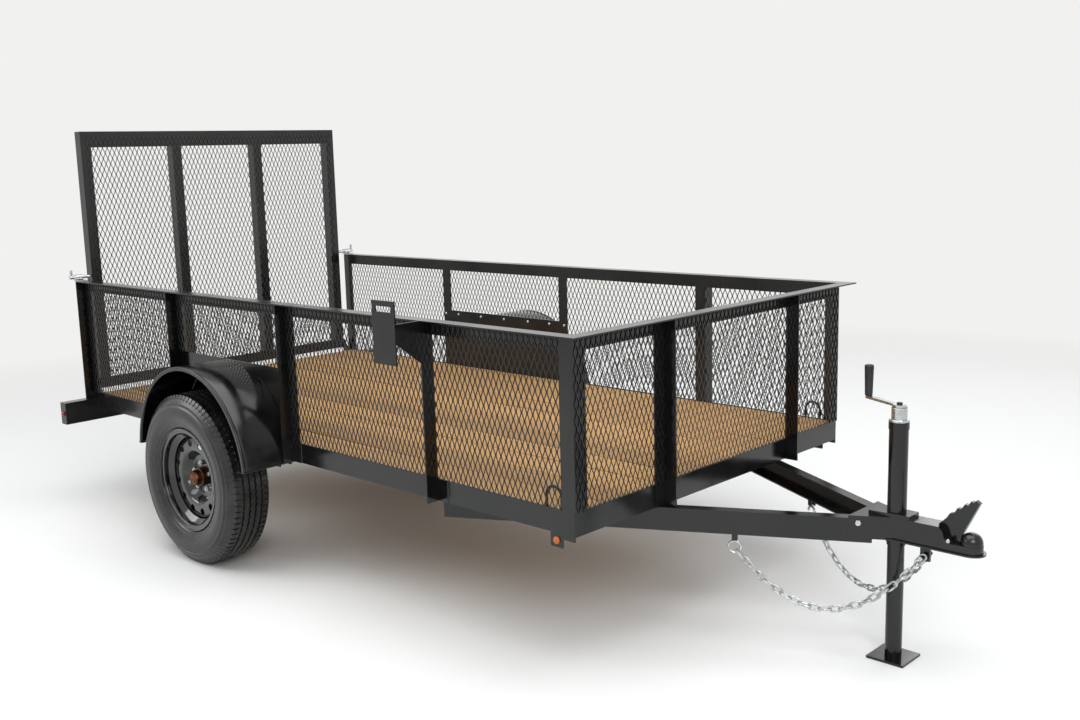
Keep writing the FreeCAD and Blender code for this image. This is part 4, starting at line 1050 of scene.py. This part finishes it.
addPair("chain", chainParts(chain), galvanisedSteel, node="chain_{}", crease=60)
addPair("chainHook", hookParts(chain), zincPlate, crease=60)
print("chains made")


# Lamps

lamp = {
    "radius": 0.012,
    "reach": 0.010,
    "plateWall": 0.003,
    "plateLength": 0.051,
    "plateHeight": 0.045,
    "plateCorner": 0.004,
    "beamDepth": 0.050,
    "beamWall": 0.004,
    "recess": 0.006,             # of the tail lens's face in the beam
    "inset": 0.012,
    "lensCorner": 0.004,
    "lensStep": 0.007,           # depth of the tail lens
    "lensBevel": 0.002,
    "lensSizes": (0.97, 0.94),   # shares of the housing's section at the lens's root and face
}


def slab(section, steps, centre, across, up):
    # section of (across, up) carried along across x up; each step is (distance, size of the section)
    across, up = np.asarray(across, float), np.asarray(up, float)
    out = np.cross(across, up)
    rows = [np.asarray(centre, float) + out * d + section[:, :1] * size * across + section[:, 1:] * size * up
            for d, size in steps]
    return closedPart(np.stack(rows))


def dome(centre, radius, reach):
    # lens turned about its short axis along -y: straight edge, then a quarter of an ellipse
    edge = 0.3                   # share of the reach
    rise = np.linspace(0, math.pi / 2, 7)
    curve = [(-reach * (edge + (1 - edge) * math.sin(a)), radius * math.cos(a)) for a in rise]
    return turnedPart([(0.0, 0.0), (0.0, radius)] + curve, centre, 32)


def makeMarkerLamps(values):
    # plate under the frame's front corner with an amber lens, and a red lens on the beam's end
    wall = values["plateWall"]
    x = frontX - angleLeg - values["plateLength"] / 2
    z = railBottom - values["plateHeight"] / 2
    section = roundedSection(values["plateLength"], values["plateHeight"], values["plateCorner"])
    plate = slab(section, [(0, 1), (wall, 1)], (x, -halfWidth + wall, z), (1, 0, 0), (0, 0, 1))
    addPair("markerPlate", [plate], glossEnamel, node="marker_lamps")
    addPair("markerLens", [dome((x, -halfWidth, z), values["radius"], values["reach"])], amberLens)
    beamEnd = (rearX + values["beamDepth"] / 2, beamLow[1], (beamLow[2] + beamHigh[2]) / 2)
    addPair("beamEndLens", [dome(beamEnd, values["radius"], values["reach"])], redLens)


def makeTailLamps(values):
    # housing in the beam's end and the stepped lens in front of it
    wall = values["beamWall"]
    outer, inner = beamLow[1] + wall, -halfWidth - values["inset"]
    back, face = rearX + values["beamDepth"] - wall, rearX + values["recess"]
    section = roundedSection(inner - outer, beamHigh[2] - beamLow[2] - 2 * wall, values["lensCorner"])
    middle = (back, (outer + inner) / 2, (beamLow[2] + beamHigh[2]) / 2)
    across, up = (0, 1, 0), (0, 0, -1)
    deep, root = back - face, back - face - values["lensStep"]
    body = slab(section, [(0, 1), (root, 1)], middle, across, up)
    addPair("tailHousing", [body], mouldedRubber, node="tail_lamps")
    large, small = values["lensSizes"]
    steps = [(root, large), (deep - values["lensBevel"], large), (deep, small)]
    addPair("tailLens", [slab(section, steps, middle, across, up)], redLens, crease=25)


makeMarkerLamps(lamp)
makeTailLamps(lamp)
print("lamps made")


# Jack: gear head, crank nut and ribbed grip

jack = {
    "tubeTop": 0.753,
    "headRadius": 0.0232,
    "headHeight": 0.0438,
    "headEdge": 0.0015,
    "discRadius": 0.0300,
    "discWall": 0.007,
    "discEdge": 0.001,
    "seatGap": 0.0002,           # between the head and the tube
    "nutCorner": 0.0095,
    "nutHeight": 0.006,
    "gripRibs": 11,
    "gripRib": 0.0006,
    "gripTaper": 0.83,           # radius at the bottom as a share of that at the top
    "gripEnd": 0.003,
}


def makeGearHead(values):
    # disc and drum turned about the jack's axis, each with a small chamfer, and the nut over the crank
    low, high = corners("jack_leg")
    x = (low[0] + high[0]) / 2
    z = values["tubeTop"]
    foot, disc, top = z + values["seatGap"], z + values["discWall"], z + values["headHeight"]
    wide, narrow, cut, trim = (values[k] for k in ("discRadius", "headRadius", "discEdge", "headEdge"))
    profile = [(foot, 0.0), (foot, wide), (disc - cut, wide), (disc, wide - cut), (disc, narrow),
               (top - trim, narrow), (top, narrow - trim), (top, 0.0)]
    addPiece("jackGearHead", [turnedPart(profile, (x, 0.0, 0.0), 48, "z")], zincPlate, "chassis")
    seat = (x, 0.0, corners("jack_crank")[1][2])
    nut = hexagonHeads([seat], (0, 0, 1), (1, 0, 0), values["nutCorner"], values["nutHeight"])
    addPiece("crankNut", [nut], mouldedRubber, "chassis", crease=25)


def makeGrip(values):
    # radius grows evenly from bottom to top, with rib * (1 - cos) / 2 cut into it, both ends rounded
    low, high = corners("jack_grip")
    place = ((low[0] + high[0]) / 2, (low[1] + high[1]) / 2, 0.0)
    end, taper = values["gripEnd"], values["gripTaper"]
    s = np.linspace(0, 1, values["gripRibs"] * 8 + 1)
    height = low[2] + end + (high[2] - low[2] - 2 * end) * s
    cut = values["gripRib"] * (1 - np.cos(2 * math.pi * values["gripRibs"] * s))
    radius = (high[0] - low[0]) / 2 * (taper + (1 - taper) * s) - cut / 2
    profile = np.concatenate([[(low[2], 0.0), (low[2], radius[0] - end)], np.stack([height, radius], -1),
                              [(high[2], radius[-1] - end), (high[2], 0.0)]])
    addPiece("jackGrip", [turnedPart(profile, place, 36, "z")], mouldedRubber, "chassis", ["jack_grip"])


makeGearHead(jack)
makeGrip(jack)
print("jack fittings made")


# Tie-down loops and small fastenings

fastening = {
    "loopRod": 0.005,
    "loopRadius": 0.031,
    "loopHeight": 0.066,
    "loopSetback": 0.092,
    "loopSteps": 16,
    "railWall": 0.0048,
    "crossCount": 4,
    "crossWidth": 0.0508,
    "screwRadius": 0.0048,
    "screwInset": 0.030,
    "screwRise": 0.0008,
    "screwSink": 0.0004,         # top of a head below the deck
    # distance ahead of the frame's rear edge of each head on the fender panels, measured in the photo
    "panelBolts": (0.840, 0.934, 1.098, 1.261, 1.424, 1.564, 1.659),
    "panelBoltRise": 0.337,
    "panelBoltRadius": 0.0065,
    "panelBoltHead": 0.0035,
    "chainBoltCorner": 0.0076,
    "chainBoltFrom": 0.0300,
    "chainBoltHead": 0.0051,
    # ahead of the frame's front, sideways, and above the ground
    "rivet": (0.805, -0.033, 0.422),
    "tongueBolt": (0.546, -0.0821, 0.438),
    "rivetRadius": 0.0065,
    "rivetHead": 0.003,
    "tongueBoltCorner": 0.0095,
    "tongueBoltHead": 0.0060,
}


def buttonHeads(places, axis, radius, height, turns=12):
    # low round head: radius * cos a at height * sin a above its seat
    axis = np.asarray(axis, float)
    side = unit(np.cross(axis, (0.3, 0.5, 0.8)))     # any direction across the axis
    rise = np.linspace(0, math.pi / 2, 4)
    up = np.concatenate([[0.0], height * np.sin(rise)])[:, None]
    r = np.concatenate([[0.0], radius * np.cos(rise)])[:, None]
    turn = np.linspace(0, 2 * math.pi, turns, endpoint=False)[None]
    return headsAbout(places, axis, side, up, r, turn)


def makeTieLoops(values):
    # up from the deck, half a circle over, down again
    x = frontX - values["loopSetback"]
    y = -halfWidth + values["railWall"] + values["loopRod"]
    top = deckHigh[2] + values["loopHeight"] - values["loopRadius"]
    turn = np.linspace(math.pi, 0, values["loopSteps"] + 1)
    arc = np.stack([x + values["loopRadius"] * np.cos(turn), np.full_like(turn, y),
                    top + values["loopRadius"] * np.sin(turn)], -1)
    feet = arc[[0, -1]]
    feet[:, 2] = deckHigh[2]
    path = np.concatenate([feet[:1], arc, feet[1:]])
    loop = closedPart(carried(circle(values["loopRod"], 12), path, (0, 1, 0)))
    addPair("tieLoop", [loop], glossEnamel, node="tie_loops", crease=60)


def makeDeckScrews(values):
    # two screws per plank over each crossmember
    pitch, rows = plankRows(planks)
    step = (np.arange(values["crossCount"]) + 0.5) / values["crossCount"]
    cross = rearX + (frontX - rearX - values["crossWidth"]) * step + values["crossWidth"] / 2
    offset = np.array([-1.0, 1.0]) * (pitch / 2 - values["screwInset"])
    seat = deckHigh[2] - values["screwRise"] - values["screwSink"]
    places = np.stack(np.broadcast_arrays(cross[:, None, None], rows[None, :, None] + offset, seat), -1)
    screws = buttonHeads(places.reshape(-1, 3), (0, 0, 1), values["screwRadius"], values["screwRise"])
    addPiece("deckScrews", [screws], galvanisedSteel, "chassis")


def makeBoltHeads(values):
    # heads on the fender panel that face the load bed, the latch's rivet, the chain's and the tongue's bolt
    rise = railBottom + values["panelBoltRise"]
    panel = np.array([(rearX + u, -halfWidth, rise) for u in values["panelBolts"]])
    front = np.array([frontX, 0, 0])
    chainBolt = (chainBoltX, -values["chainBoltFrom"], chainBoltZ)
    along, inward = tongueWays()
    out = (0, -1, 0)
    heads = [buttonHeads(panel, (0, 1, 0), values["panelBoltRadius"], values["panelBoltHead"], 16),
             buttonHeads([front + values["rivet"]], out, values["rivetRadius"], values["rivetHead"], 16),
             hexagonHeads([chainBolt], out, (1, 0, 0), values["chainBoltCorner"], values["chainBoltHead"]),
             hexagonHeads([front + values["tongueBolt"]], -inward, along, values["tongueBoltCorner"],
                          values["tongueBoltHead"])]
    addPair("boltHeads", heads, zincPlate, crease=30)


makeTieLoops(fastening)
makeDeckScrews(fastening)
makeBoltHeads(fastening)
print("loops, screws and bolts made")


# Coupler lip and weld beads

joint = {
    "lipBead": 0.0024,
    "lipGrow": 0.0056,           # outward of the coupler's plan
    "lipHalfWidth": 0.033,
    "lipStart": 0.621,           # ahead of the frame's front
    "ballAhead": 0.862,
    "underFrame": 0.062,         # underside of the coupler below that of the frame
    "weldRadius": 0.0045,
    "weldHeight": 0.0022,
    "weldStep": 0.0032,
    "weldGap": 0.0002,           # between a bead's seat and the rail
    "weldInset": 0.004,          # from the rail's edges
}


def weldLine(start, end, axis, values):
    # row of overlapping low heads from start to end, one weld step apart
    start, end = np.asarray(start, float), np.asarray(end, float)
    count = max(2, int(np.linalg.norm(end - start) / values["weldStep"]))
    places = start + (end - start) * np.linspace(0, 1, count)[:, None]
    return buttonHeads(places, axis, values["weldRadius"], values["weldHeight"], 8)


def makeCouplerLip(values):
    # straight to the ball, half a circle about it, straight back
    side = values["lipHalfWidth"] + values["lipGrow"]
    ballX = frontX + values["ballAhead"]
    z = railBottom - values["underFrame"] + values["lipBead"]
    turn = np.linspace(-math.pi / 2, math.pi / 2, 25)
    arc = np.stack([ballX + side * np.cos(turn), side * np.sin(turn), np.full_like(turn, z)], -1)
    straight = np.linspace(frontX + values["lipStart"], ballX, 6)[:-1]
    right = np.stack([straight, np.full_like(straight, -side), np.full_like(straight, z)], -1)
    path = np.concatenate([right, arc, (right * (1, -1, 1))[::-1]])
    bead = closedPart(carried(circle(values["lipBead"], 10), path, (0, 0, 1)))
    addPiece("couplerLip", [bead], glossEnamel, "chassis", crease=60)


def makeWelds(values):
    # four lines of weld up the side: the first lies mostly in the rear beam, the next two are at their posts,
    # and the last is 0.046 ahead of the post at the spare carrier, on the bare rail
    y = -halfWidth - values["weldGap"]
    low, high = railBottom + values["weldInset"], railTop - values["weldInset"]
    edges = [rearX + angleWall, postBefore - angleWall, postAfter + angleLeg, postSpare + angleLeg]
    lines = [weldLine((x, y, low), (x, y, high), (0, -1, 0), values) for x in edges]
    addPair("weldBeads", lines, glossEnamel, crease=60)


makeCouplerLip(joint)
makeWelds(joint)
print("lip and welds made")
